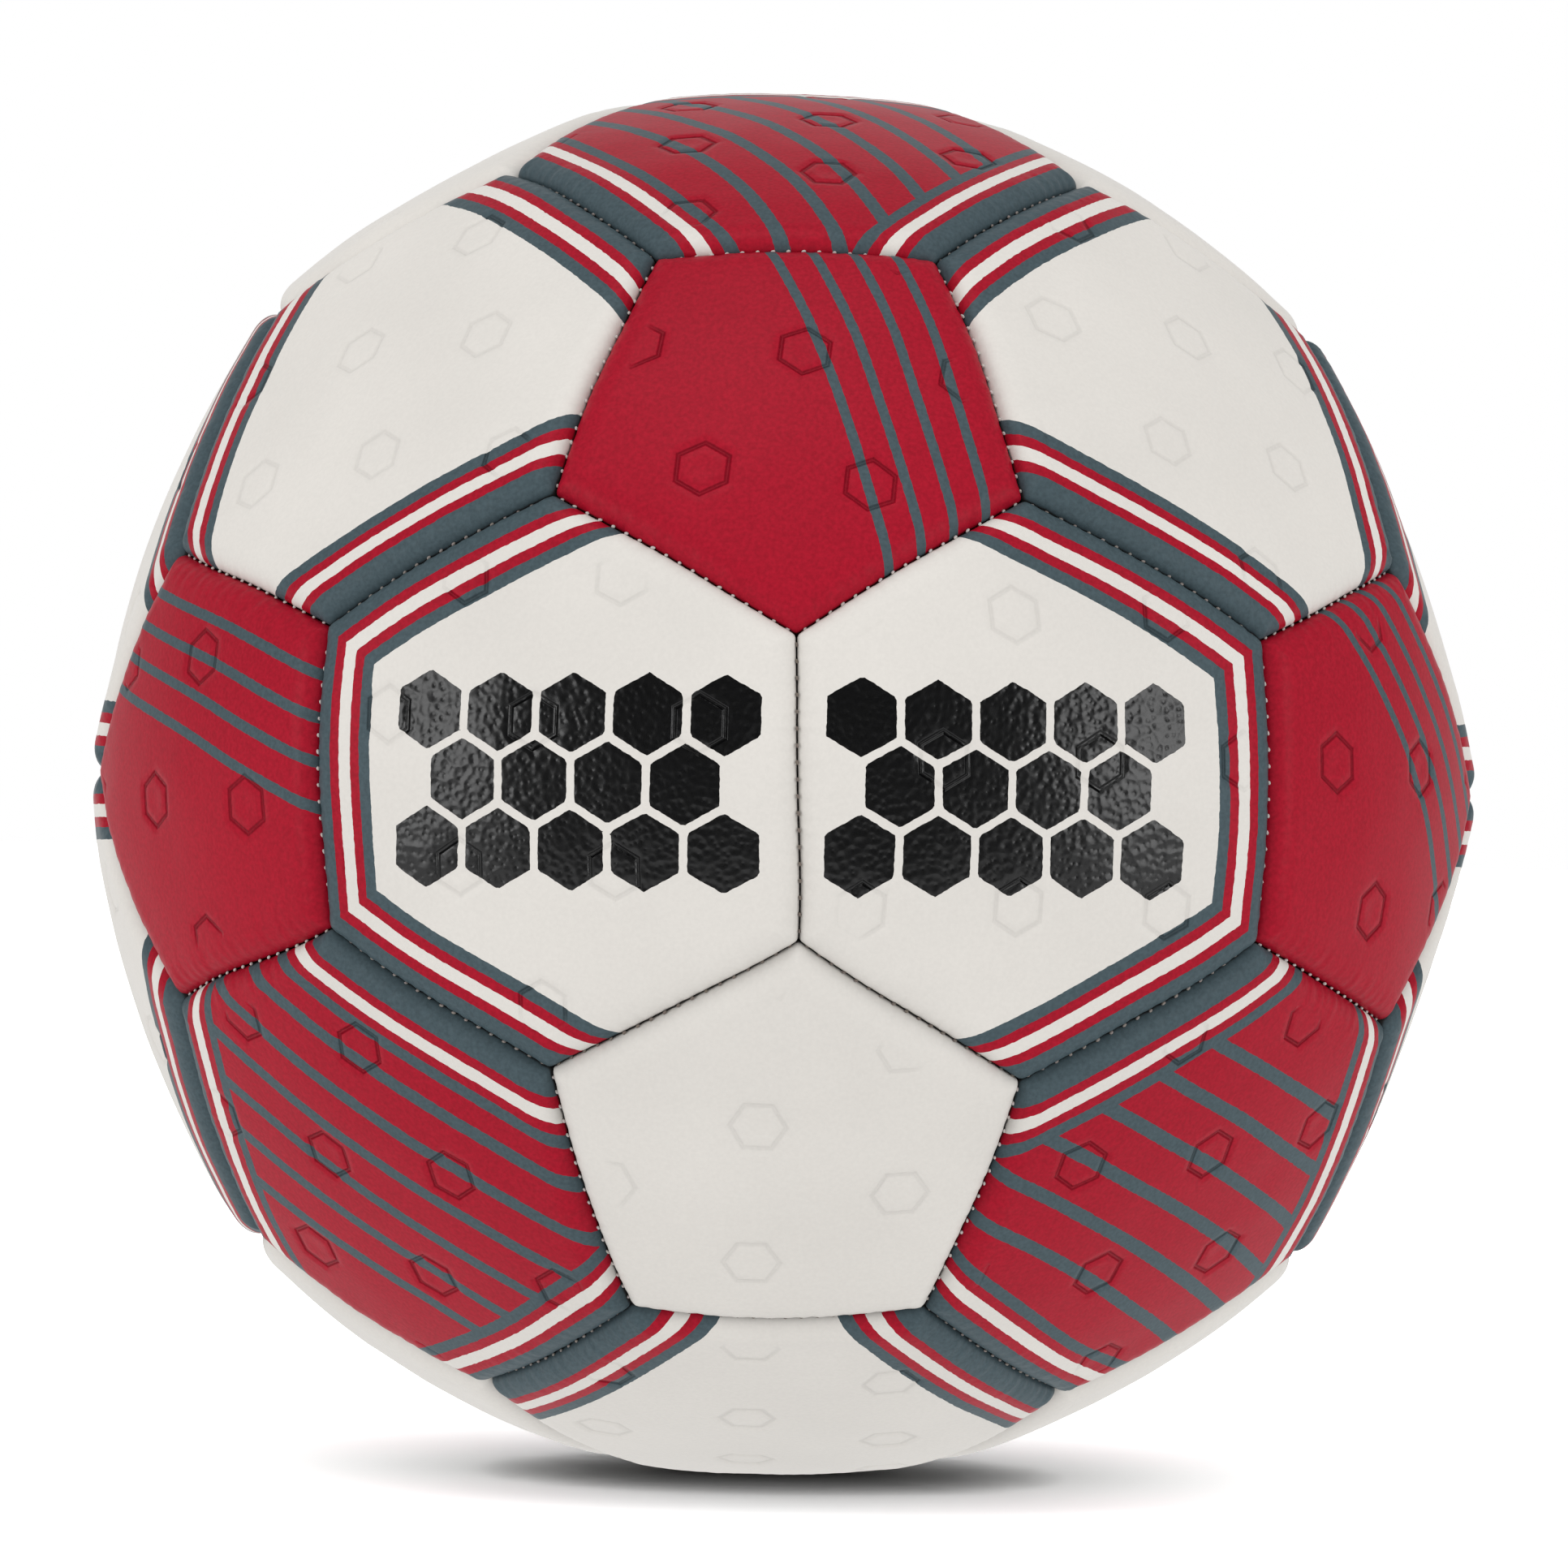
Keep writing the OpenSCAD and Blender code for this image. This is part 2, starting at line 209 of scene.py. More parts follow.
def linear(colour):
    """An sRGB hex colour as linear RGBA."""
    parts = [int(colour[i : i + 2], 16) / 255 for i in (1, 3, 5)]
    return [p / 12.92 if p <= 0.04045 else ((p + 0.055) / 1.055) ** 2.4 for p in parts] + [1.0]


def add_node(tree, made, name, kind, settings=None, *inputs):
    """Adds a node under a name. Inputs are values in order or by socket; "@name:socket" is a link."""
    node = tree.nodes.new(kind)
    if isinstance(settings, str):
        settings = {"operation": settings}
    for key, value in (settings or {}).items():
        setattr(node, key, value)
    wanted = {}
    for i, value in enumerate(inputs):
        wanted.update(value if isinstance(value, dict) else {i: value})
    for socket, value in wanted.items():
        if isinstance(value, str) and value.startswith("@"):
            source, _, output = value[1:].partition(":")
            outputs = made[source].outputs
            tree.links.new(outputs[int(output) if output.isdigit() else output or 0], node.inputs[socket])
        else:
            node.inputs[socket].default_value = value
    made[name] = node


def grow(tree, rows):
    """Empties a tree and adds every row's node."""
    made = {}
    tree.nodes.clear()
    for row in rows:
        add_node(tree, made, *row)


def new_material(name, rows, roughness, specular=0.5, film=None):
    """A material whose rows end in a colour and a bump, with a clear film as thick as film says."""
    material = bpy.data.materials.new(name)
    material.use_nodes = True
    sockets = {
        "Base Color": "@colour:2",
        "Roughness": roughness,
        "Specular IOR Level": specular,
        "Normal": "@bump",
    }
    if film:
        sockets.update({"Coat Weight": film, "Coat Roughness": 0.24, "Coat Normal": "@bump"})
    ends = [
        ("surface", "ShaderNodeBsdfPrincipled", None, sockets),
        ("out", "ShaderNodeOutputMaterial", None, {"Surface": "@surface"}),
    ]
    grow(material.node_tree, [("where", "ShaderNodeTexCoord"), *rows, *ends])
    return material


def add_object(name, data):
    """A new object in the scene."""
    made = bpy.data.objects.new(name, data)
    bpy.context.scene.collection.objects.link(made)
    return made


# Grid of one panel, in its own frame: +Z through its middle, the first seam's middle over +X


def seam_normals(sides):
    """Normals of the planes of a panel's seams, towards its middle."""
    edge = EDGE_ANGLE[sides]
    around = np.arange(sides) * 2 * math.pi / sides
    out = [-np.cos(around) * math.cos(edge), -np.sin(around) * math.cos(edge)]
    return np.stack([*out, np.full(sides, math.sin(edge))], axis=1)


def directions(azimuth, angle):
    """Unit vectors at an angle from +Z."""
    azimuth, angle = np.broadcast_arrays(azimuth, angle)
    return np.stack(
        [np.sin(angle) * np.cos(azimuth), np.sin(angle) * np.sin(azimuth), np.cos(angle)], axis=-1
    )


def seam_distances(points, sides):
    """How far each point lies inside each seam, along the ball."""
    return np.arcsin(points @ seam_normals(sides).T) * CREST_R - SEAM_GAP / 2


def outline_distance(distances, sides):
    """How far each point lies inside the outline, whose corners are round."""
    nearest = np.sort(distances, axis=-1)
    a = CORNER_R - nearest[..., 0]
    b = CORNER_R - nearest[..., 1]
    normals = seam_normals(sides)
    cosine = normals[0] @ normals[1]
    across = np.sqrt(np.maximum(a * a + b * b - 2 * a * b * cosine, 0)) / math.sqrt(1 - cosine**2)
    return np.where((a > 0) & (b > a * cosine), CORNER_R - across, nearest[..., 0])


def ring_azimuths(sides, count):
    """Azimuths of a ring's points, in even steps along each seam, from one corner to the next."""
    if count == 0:
        return np.zeros(1)
    half = math.pi / sides
    along = np.arctan(math.tan(half) * (2 * np.arange(count) / count - 1))
    return (np.arange(sides)[:, None] * 2 * half + along[None, :]).ravel()


def inset_table(sides):
    """A function from azimuths and an inset to angles from the middle of the panel."""
    half = math.pi / sides
    corner = math.atan(math.tan(EDGE_ANGLE[sides]) / math.cos(half))
    azimuths = np.linspace(-half, half, TABLE_TURNS)
    angles = np.linspace(0, corner, TABLE_ANGLES)
    points = directions(azimuths[:, None], angles[None, :])
    depths = outline_distance(seam_distances(points, sides), sides)

    def at(azimuth, inset):
        found = [np.interp(-inset, -row, angles) for row in depths]
        folded = (azimuth + half) % (2 * half) - half
        return np.interp(folded, azimuths, found)

    return at


def join_rings(faces, first, first_count, second, second_count, sides):
    """Triangles between two rings that have their own number of points along each seam."""
    for sector in range(sides):
        i = j = 0
        while i < first_count or j < second_count:
            a = first + (sector * first_count + i) % max(sides * first_count, 1)
            b = second + (sector * second_count + j) % max(sides * second_count, 1)
            behind = i >= first_count or (j + 1) * first_count <= (i + 1) * second_count
            if j < second_count and behind:
                faces.append((a, b, second + (sector * second_count + j + 1) % (sides * second_count)))
                j += 1
            else:
                faces.append((a, b, first + (sector * first_count + i + 1) % (sides * first_count)))
                i += 1


def panel_rings(sides, leather, shoulder, hole):
    """Rings of a closed shell: points along a seam, angles, share of the side and of the inside."""
    inset_at = inset_table(sides)
    crown_rings = CROWN_RINGS[sides]
    rings = []

    def ring(count, angle, wall=0.0, inner=0.0):
        rings.append((count, angle, wall, inner))

    start = HOLE_RING if hole else 0
    hole_angle = math.asin(hole / TOP_R[sides])
    for i in range(start, crown_rings + 1):
        share = (i - start) / (crown_rings - start)
        ring(i, hole_angle + share * (inset_at(ring_azimuths(sides, i), shoulder) - hole_angle))
    columns = 2 * crown_rings
    azimuth = ring_azimuths(sides, columns)
    for k in range(1, SHOULDER_ROWS + 1):
        turn = math.pi / 2 * (1 - k / SHOULDER_ROWS)
        ring(columns, inset_at(azimuth, shoulder * (1 - math.cos(turn))))
    for k in range(1, WALL_ROWS + 1):
        ring(columns, inset_at(azimuth, 0), wall=k / WALL_ROWS)
    ring(columns, inset_at(azimuth, leather), wall=1.0, inner=1.0)
    ring(crown_rings, inset_at(ring_azimuths(sides, crown_rings), leather), inner=1.0)
    count = crown_rings // 2
    azimuth = ring_azimuths(sides, count)
    for turn in INNER_TURNS:
        inset = leather + (shoulder - leather) * (1 - math.cos(math.radians(turn)))
        ring(count, inset_at(azimuth, inset), inner=1.0)
    last = 1 if hole else 0
    for i in range(INNER_RINGS - 1, last - 1, -1):
        count = HOLE_RING if hole and i == last else count // 2 if i else 0
        count = max(count, HOLE_RING if hole else FEWEST_IN_RING) if i else 0
        share = (i - last) / (INNER_RINGS - last)
        reach = inset_at(ring_azimuths(sides, count), shoulder) - hole_angle
        ring(count, hole_angle + share * reach, inner=1.0)
    return rings


def panel_grid(sides, leather, shoulder, hole):
    """Points and triangles of a closed shell: crown, shoulder, side, rim and the leather's inside."""
    rings = panel_rings(sides, leather, shoulder, hole)
    starts, faces, parts = [], [], []
    total = 0
    for count, *values in rings:
        azimuth = ring_azimuths(sides, count)
        starts.append(total)
        total += len(azimuth)
        parts.append([np.broadcast_to(value, azimuth.shape) for value in (azimuth, *values)])
    for k in range(1, len(rings)):
        join_rings(faces, starts[k - 1], rings[k - 1][0], starts[k], rings[k][0], sides)
    if hole:
        join_rings(faces, starts[-1], rings[-1][0], starts[0], rings[0][0], sides)
    azimuth, angle, wall, inner = (np.concatenate(p) for p in zip(*parts))
    points = directions(azimuth, angle)
    distances = seam_distances(points, sides)
    middle = np.argmin(distances, axis=1) * 2 * math.pi / sides
    beside = -np.sin(middle) * points[:, 0] + np.cos(middle) * points[:, 1]
    return {
        "faces": np.array(faces),
        "points": points,
        "distances": distances,
        "edge": np.maximum(outline_distance(distances, sides), 0),
        "along": np.arcsin(beside) * CREST_R,
        "cosine": np.cos(angle),
        "wall": wall,
        "inner": inner,
        "flat": np.stack([np.cos(azimuth), np.sin(azimuth)], axis=1) * (angle * CREST_R)[:, None],
    }


# Panels of the ball


def panel_axes():
    """Number of sides and direction of every panel of such a ball."""
    g, h, signs = GOLDEN, 1 / GOLDEN, (-1, 1)
    axes = [(6, (s, t, r)) for s in signs for t in signs for r in signs]
    for s in signs:
        for t in signs:
            axes += [(5, v) for v in ((0, s * g, t), (s * g, t, 0), (s, 0, t * g))]
            axes += [(6, v) for v in ((s * h, t * g, 0), (0, s * h, t * g), (s * g, 0, t * h))]
    return [(sides, Vector(v).normalized()) for sides, v in axes]


@functools.cache
def ball_panels():
    """Name, direction, sides, colour slot and neighbours of each panel, read from the frame."""
    axes = panel_axes()
    panels = []
    for node in sorted(frame["nodes"]):
        if not SLOTS[node].endswith("leather"):
            continue
        low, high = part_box(node)
        sides, axis = max(axes, key=lambda wanted: wanted[1].dot((low + high).normalized()))
        panels.append({"name": node, "axis": axis, "sides": sides, "slot": SLOTS[node]})
    for panel in panels:
        axis, sides = panel["axis"], panel["sides"]
        around = [p for p in panels if p is not panel and p["axis"].angle(axis) < NEIGHBOUR_ANGLE]
        first = around[0]["axis"]
        x = (first - axis * first.dot(axis)).normalized()
        y = axis.cross(x)
        turns = [math.atan2(p["axis"].dot(y), p["axis"].dot(x)) for p in around]
        places = [round(turn * sides / (2 * math.pi)) % sides for turn in turns]
        panel["turn"] = np.array([x, y, axis]).T
        panel["around"] = [around[places.index(k)] for k in range(sides)]
    return panels


def nearness(points, places, reach):
    """How much what happens at each place counts at each point."""
    apart = ((points[:, None, :] - places[None, :, :]) ** 2).sum(axis=2)
    return np.exp(-apart * (CREST_R / reach) ** 2 / 2)


def stand_out(points):
    """How far the ball stands out at each direction, in metres."""
    turns = np.arange(len(OUT_OF_ROUND)) * 2 * math.pi / len(OUT_OF_ROUND)
    places = np.stack([np.cos(turns), np.zeros(len(turns)), np.sin(turns)], axis=1)
    shares = np.linalg.solve(nearness(places, places, OUT_OF_ROUND_REACH), np.array(OUT_OF_ROUND))
    return nearness(points, places, OUT_OF_ROUND_REACH) @ shares * MM


@functools.cache
def moved_corners():
    """The listed corners of the seams, and what each one adds to the directions near it."""
    axes = {panel["name"]: np.array(panel["axis"]) for panel in ball_panels()}
    corners, wanted = [], []
    for pentagon, first, second, right, up in CORNER_SHIFTS:
        corner = axes["pentagon_" + pentagon] + axes["hexagon_" + first] + axes["hexagon_" + second]
        corner = corner / np.linalg.norm(corner)
        depth = -(corner[0] * right + corner[2] * up) / corner[1]
        corners.append(corner)
        wanted.append(np.array([right, depth, up]) * MM / CREST_R)
    corners = np.array(corners)
    return corners, np.linalg.solve(nearness(corners, corners, SHIFT_REACH), np.array(wanted))


def settle(points):
    """Moves unit directions as the hand-sewn seams lie, most at the listed corners."""
    corners, shares = moved_corners()
    moved = points + nearness(points, corners, SHIFT_REACH) @ shares
    return moved / np.linalg.norm(moved, axis=1, keepdims=True)


def crown_radius(sides, top):
    """Radius of the crown that is top high in its middle and reaches the crest at the seams."""
    edge = EDGE_ANGLE[sides]
    half_width = CREST_R * math.sin(edge)
    rise = top - CREST_R * math.cos(edge)
    return (half_width**2 + rise**2) / (2 * rise)


def crown_height(sides, top, cosine):
    """Distance of a panel's crown from the ball's middle at an angle from the panel's own middle."""
    crown = crown_radius(sides, top)
    reach = top - crown
    return reach * cosine + np.sqrt(crown**2 - reach**2 * (1 - cosine**2))


def follow_skin(points):
    """Moves points of the padding with the settled skin above them; its underside keeps its height."""
    radius = np.linalg.norm(points, axis=1)
    around = points / radius[:, None]
    lift = stand_out(around)
    for panel in ball_panels():
        sides, name = panel["sides"], panel["name"]
        cosine = around @ np.array(panel["axis"])
        own = cosine > math.cos(EDGE_ANGLE[sides])
        if name in FLATTER:
            flat, full = (crown_height(sides, top, cosine) for top in (FLATTER_TOP_R, TOP_R[sides]))
            lift += own * (flat - full)
        lift -= own * SLACK.get(name, 0.0)
    share = np.clip((radius - FOAM_IN_R) / FOAM_DEPTH, 0, 1)
    height = np.where(share > 0, np.maximum(radius + lift * share, FOAM_IN_R), radius)
    return settle(around) * height[:, None]


def settled_layer(node):
    """A copy of one of the frame's layers whose pads follow the settled skin."""
    form = bmesh.new()
    form.from_mesh(frame["nodes"][node].data)
    bmesh.ops.remove_doubles(form, verts=form.verts, dist=0.001 * MM)
    mesh = bpy.data.meshes.new("settled_" + node)
    form.to_mesh(mesh)
    form.free()
    points = np.empty(len(mesh.vertices) * 3, dtype=np.float32)
    mesh.vertices.foreach_get("co", points)
    moved = follow_skin(points.reshape(-1, 3).astype(float))
    mesh.vertices.foreach_set("co", moved.astype(np.float32).ravel())
    mesh.update()
    piece = add_object(mesh.name, mesh)
    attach(piece, "root")
    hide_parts(node)
    return piece


def is_front_pair(panel, other):
    """The two hexagons on each side of the ball's front or back seam."""
    return panel["name"] in FRONT_PAIRS and other["name"] in FRONT_PAIRS


def has_border(panel, other):
    """Printed borders run along the seams between hexagons, and round the outer side of a front pair."""
    bottom = all(p["name"].startswith("hexagon_bottom") for p in (panel, other))
    if panel["sides"] == 5 or bottom or is_front_pair(panel, other):
        return False
    outer = abs(other["axis"].x) > OUTER_X and other["axis"].z == 0
    return other["sides"] == 6 or (outer and any(is_front_pair(panel, p) for p in panel["around"]))


def hexagon_distance(x, y):
    """Distance from the middle of a hexagon with two upright sides, as a share of its half width."""
    return np.maximum(np.abs(x), np.abs(x) / 2 + np.abs(y) * math.sqrt(3) / 2)


def tile_distance(points, prints):
    """Distance outside the nearest tile of the black band across the two front hexagons."""
    x = np.abs(np.arctan2(points[:, 0], -points[:, 1])) * CREST_R
    z = np.arcsin(points[:, 2]) * CREST_R
    pitch = prints.tile_pitch
    away = np.full(len(points), FAR)
    for row, columns in TILE_COLUMNS.items():
        for column in range(columns):
            middle = prints.tile_start + (column + 0.5 * (row == 0)) * pitch
            height = row * pitch * math.sqrt(3) / 2
            away = np.minimum(away, hexagon_distance(x - middle, z - height))
    return away - prints.tile_width / 2


def mark_depth(flat, sizes):
    """How deep each small hexagon is pressed: a groove round a shallow hollow."""
    pitch = sizes.emboss_pitch
    cell = np.array([pitch, pitch * math.sqrt(3)])
    away = np.full(len(flat), FAR)
    for shift in (np.zeros(2), cell / 2):
        near = flat - shift
        near = near - np.round(near / cell) * cell
        away = np.minimum(away, hexagon_distance(near[:, 0], near[:, 1]))
    hollow = np.clip(HOLLOW_REACH - away / sizes.emboss_width * 2, 0, 1)
    groove = np.clip(1 - np.abs(away - sizes.emboss_width / 2) / sizes.emboss_line, 0, 1)
    return HOLLOW_SHARE * hollow + (1 - HOLLOW_SHARE) * groove**2 * (3 - 2 * groove)


def panel_mesh(panel, grid, sizes, prints):
    """A mesh of unit directions with every attribute that the node tree and the print read."""
    mesh = bpy.data.meshes.new(panel["name"] + "_grid")
    points = settle(grid["points"] @ panel["turn"].T)
    faces = grid["faces"]
    mesh.vertices.add(len(points))
    mesh.vertices.foreach_set("co", points.astype(np.float32).ravel())
    mesh.loops.add(faces.size)
    mesh.loops.foreach_set("vertex_index", faces.astype(np.int32).ravel())
    mesh.polygons.add(len(faces))
    mesh.polygons.foreach_set("loop_start", np.arange(0, faces.size, 3, dtype=np.int32))
    mesh.polygons.foreach_set("loop_total", np.full(len(faces), 3, dtype=np.int32))
    mesh.polygons.foreach_set("use_smooth", np.ones(len(faces), dtype=bool))
    mesh.update()

    around, distances = panel["around"], grid["distances"]
    border = np.full(len(points), FAR)
    bordered = [has_border(panel, other) for other in around]
    if any(bordered):
        border = distances[:, bordered].min(axis=1)
    bars = np.full(len(points), 0.5)
    if panel["slot"] == "red_leather":
        start, pitch, count = BARS[panel["sides"]]
        seam = max(range(panel["sides"]), key=lambda k: around[k]["axis"].dot(BARS_LEAN))
        bars = np.clip((distances[:, seam] - start) / pitch, -0.5, count - 0.5)
    tile = np.full(len(points), FAR)
    if panel["name"] in FRONT_PAIRS[:2]:
        tile = tile_distance(points, prints)
    flat = grid["flat"] + np.array(MARK_START_SHARES) * sizes.emboss_pitch
    clear = (1 - grid["inner"]) * np.clip(grid["edge"] / MARK_MARGIN - 1, 0, 1)
    values = {
        "border": border,
        "bars": bars,
        "tile": tile,
        "emboss": mark_depth(flat, sizes) * clear * np.where(tile < 0, MARK_IN_INK_SHARE, 1),
        "spot_x": flat[:, 0],
        "spot_y": flat[:, 1],
        "uneven": stand_out(points),
    }
    values.update((name, grid[name]) for name in ("edge", "along", "cosine", "wall", "inner"))
    for name, value in values.items():
        attribute = mesh.attributes.new(name, "FLOAT", "POINT")
        attribute.data.foreach_set("value", value.astype(np.float32))
    return mesh


# Node trees that make the panels and the stitches


def new_tree(name, inputs, rows):
    """A geometry tree with inputs by title and kind, whose rows end in the geometry to dress."""
    tree = bpy.data.node_groups.new(name, "GeometryNodeTree")
    for side in ("INPUT", "OUTPUT"):
        tree.interface.new_socket(name="Geometry", in_out=side, socket_type="NodeSocketGeometry")
    for title, kind in {**inputs, "Material": "Material"}.items():
        tree.interface.new_socket(name=title, in_out="INPUT", socket_type="NodeSocket" + kind)
    starts = [("in", "NodeGroupInput"), ("pos", "GeometryNodeInputPosition")]
    dress = {"Geometry": "@made", "Material": "@in:Material"}
    ends = [
        ("dress", "GeometryNodeSetMaterial", None, dress),
        ("out", "NodeGroupOutput", None, {"Geometry": "@dress"}),
    ]
    grow(tree, [*starts, *rows, *ends])
    return tree


def apply_tree(name, mesh, tree, values):
    """Runs a geometry tree on a mesh and returns the result as a plain object of that name."""
    maker = add_object(name + "_maker", mesh)
    modifier = maker.modifiers.new("form", "NODES")
    modifier.node_group = tree
    for item in tree.interface.items_tree:
        if item.in_out == "INPUT" and item.name != "Geometry":
            modifier[item.identifier] = values[item.name]
    graph = bpy.context.evaluated_depsgraph_get()
    made = bpy.data.meshes.new_from_object(maker.evaluated_get(graph), depsgraph=graph)
    made.name = name
    bpy.data.objects.remove(maker)
    bpy.data.meshes.remove(mesh)
    return add_object(name, made)


def wander_rows():
    """Rows that shift a direction along the ball, by the same amount on both sides of a seam."""
    return [
        ("wander_noise", NOISE, None, {"Vector": "@pos", "Scale": UNEVEN_SCALE, "Detail": 0.0}),
        ("wander_off", VECTOR, "SUBTRACT", "@wander_noise:Color", (0.5, 0.5, 0.5)),
        ("wander_share", MATH, "DIVIDE", "@in:Wander", CREST_R),
        ("wander", VECTOR, "SCALE", {0: "@wander_off", "Scale": "@wander_share"}),
        ("wandered", VECTOR, "ADD", "@pos", "@wander"),
        ("unit", VECTOR, "NORMALIZE", "@wandered"),
    ]


def form_tree(inputs):
    """The rule of a panel's form, from its middle over the shoulder to the turned-in rim."""
    read = ("edge", "along", "cosine", "wall", "inner", "emboss", "uneven")
    clamped = {"operation": "SUBTRACT", "use_clamp": True}
    swell = {"Vector": "@pos", "W": "@in:Seed", "Scale": UNEVEN_SCALE, "Detail": 1.5}
    rows = [
        *((name, READ, NUMBERS, {"Name": name}) for name in read),
        # Crown: a sphere whose middle lies off the ball's middle
        ("thin", MATH, "MULTIPLY", "@inner", "@in:Leather thickness"),
        ("crown_r", MATH, "SUBTRACT", "@in:Crown radius", "@thin"),
        ("reach", MATH, "SUBTRACT", "@in:Top radius", "@in:Crown radius"),
        ("reach_up", MATH, "MULTIPLY", "@reach", "@cosine"),
        ("cosine_2", MATH, "MULTIPLY", "@cosine", "@cosine"),
        ("sine_2", MATH, "SUBTRACT", 1.0, "@cosine_2"),
        ("reach_2", MATH, "MULTIPLY", "@reach", "@reach"),
        ("side_2", MATH, "MULTIPLY", "@reach_2", "@sine_2"),
        ("crown_r_2", MATH, "MULTIPLY", "@crown_r", "@crown_r"),
        ("up_2", MATH, "SUBTRACT", "@crown_r_2", "@side_2"),
        ("up", MATH, "SQRT", "@up_2"),
        ("crown", MATH, "ADD", "@reach_up", "@up"),
        # Shoulder: a quarter oval down to the side, then a panel's own flattening
        ("turn_r", MATH, "SUBTRACT", "@in:Shoulder width", "@thin"),
        ("inset", MATH, "SUBTRACT", "@edge", "@thin"),
        ("inset_share", MATH, "DIVIDE", "@inset", "@turn_r"),
        ("outward", MATH, clamped, 1.0, "@inset_share"),
        ("outward_2", MATH, "MULTIPLY", "@outward", "@outward"),
        ("round_2", MATH, clamped, 1.0, "@outward_2"),
        ("round", MATH, "SQRT", "@round_2"),
        ("fall_share", MATH, "SUBTRACT", 1.0, "@round"),
        ("fall", MATH, "MULTIPLY", "@in:Shoulder depth", "@fall_share"),
        ("flat_share", RAMP, SMOOTH, "@edge", 0.0, FLATTENING_REACH),
        ("falls", MATH, "MULTIPLY_ADD", "@flat_share", "@in:Flattening", "@fall"),
        ("smooth", MATH, "SUBTRACT", "@crown", "@falls"),
        # Relief: dimples at the stitches, pleats, uneven stuffing and pressed marks
        ("fade_at", MATH, "DIVIDE", "@edge", -DIMPLE_REACH),
        ("fade", MATH, "EXPONENT", "@fade_at"),
        ("stitches", MATH, "DIVIDE", "@along", "@in:Stitch pitch"),
        ("stitch_turn", MATH, "MULTIPLY", "@stitches", 2 * math.pi),
        ("stitch_wave", MATH, "COSINE", "@stitch_turn"),
        ("stitch_pull", MATH, "MULTIPLY_ADD", "@stitch_wave", 0.5, 0.5),
        ("dimple_fade", MATH, "MULTIPLY", "@stitch_pull", "@fade"),
        ("dimple", MATH, "MULTIPLY", "@dimple_fade", "@in:Dimple depth"),
        ("pleat_x", MATH, "DIVIDE", "@along", PLEAT_PITCH),
        ("pleat_y", MATH, "DIVIDE", "@edge", PLEAT_LENGTH),
        ("pleat_at", "ShaderNodeCombineXYZ", None, "@pleat_x", "@pleat_y", "@in:Seed"),
        ("pleat_noise", NOISE, None, {"Vector": "@pleat_at", "Scale": 1.0, "Detail": 2.0}),
        ("pleat_off", MATH, "SUBTRACT", "@pleat_noise", 0.5),
        ("pleat_reach", MATH, "DIVIDE", "@edge", -PLEAT_REACH),
        ("pleat_fade", MATH, "EXPONENT", "@pleat_reach"),
        ("pleat_size", MATH, "MULTIPLY", "@pleat_fade", "@in:Pleat depth"),
        ("pleat", MATH, "MULTIPLY", "@pleat_off", "@pleat_size"),
        ("swell_noise", NOISE, {"noise_dimensions": "4D"}, swell),
        ("swell_off", MATH, "SUBTRACT", 0.5, "@swell_noise"),
        ("swell", MATH, "MULTIPLY", "@swell_off", "@in:Swell"),
        ("pressed", MATH, "MULTIPLY", "@emboss", "@in:Emboss depth"),
        ("relief_1", MATH, "ADD", "@dimple", "@pleat"),
        ("relief_2", MATH, "ADD", "@swell", "@pressed"),
        ("relief_3", MATH, "ADD", "@relief_1", "@relief_2"),
        ("outer", MATH, "SUBTRACT", 1.0, "@inner"),
        ("relief", MATH, "MULTIPLY", "@relief_3", "@outer"),
        ("worn", MATH, "SUBTRACT", "@smooth", "@relief"),
        ("surface", MATH, "ADD", "@worn", "@uneven"),
        ("to_rim", MATH, "SUBTRACT", COVER_IN_R, "@surface"),
        ("radius", MATH, "MULTIPLY_ADD", "@wall", "@to_rim", "@surface"),
        *wander_rows(),
        ("place", VECTOR, "SCALE", {0: "@unit", "Scale": "@radius"}),
        ("set", "GeometryNodeSetPosition", None, {"Geometry": "@in:Geometry", "Position": "@place"}),
        ("made", "GeometryNodeRealizeInstances", None, {"Geometry": "@set"}),
    ]
    return new_tree("Panel form", dict.fromkeys(inputs, "Float"), rows)


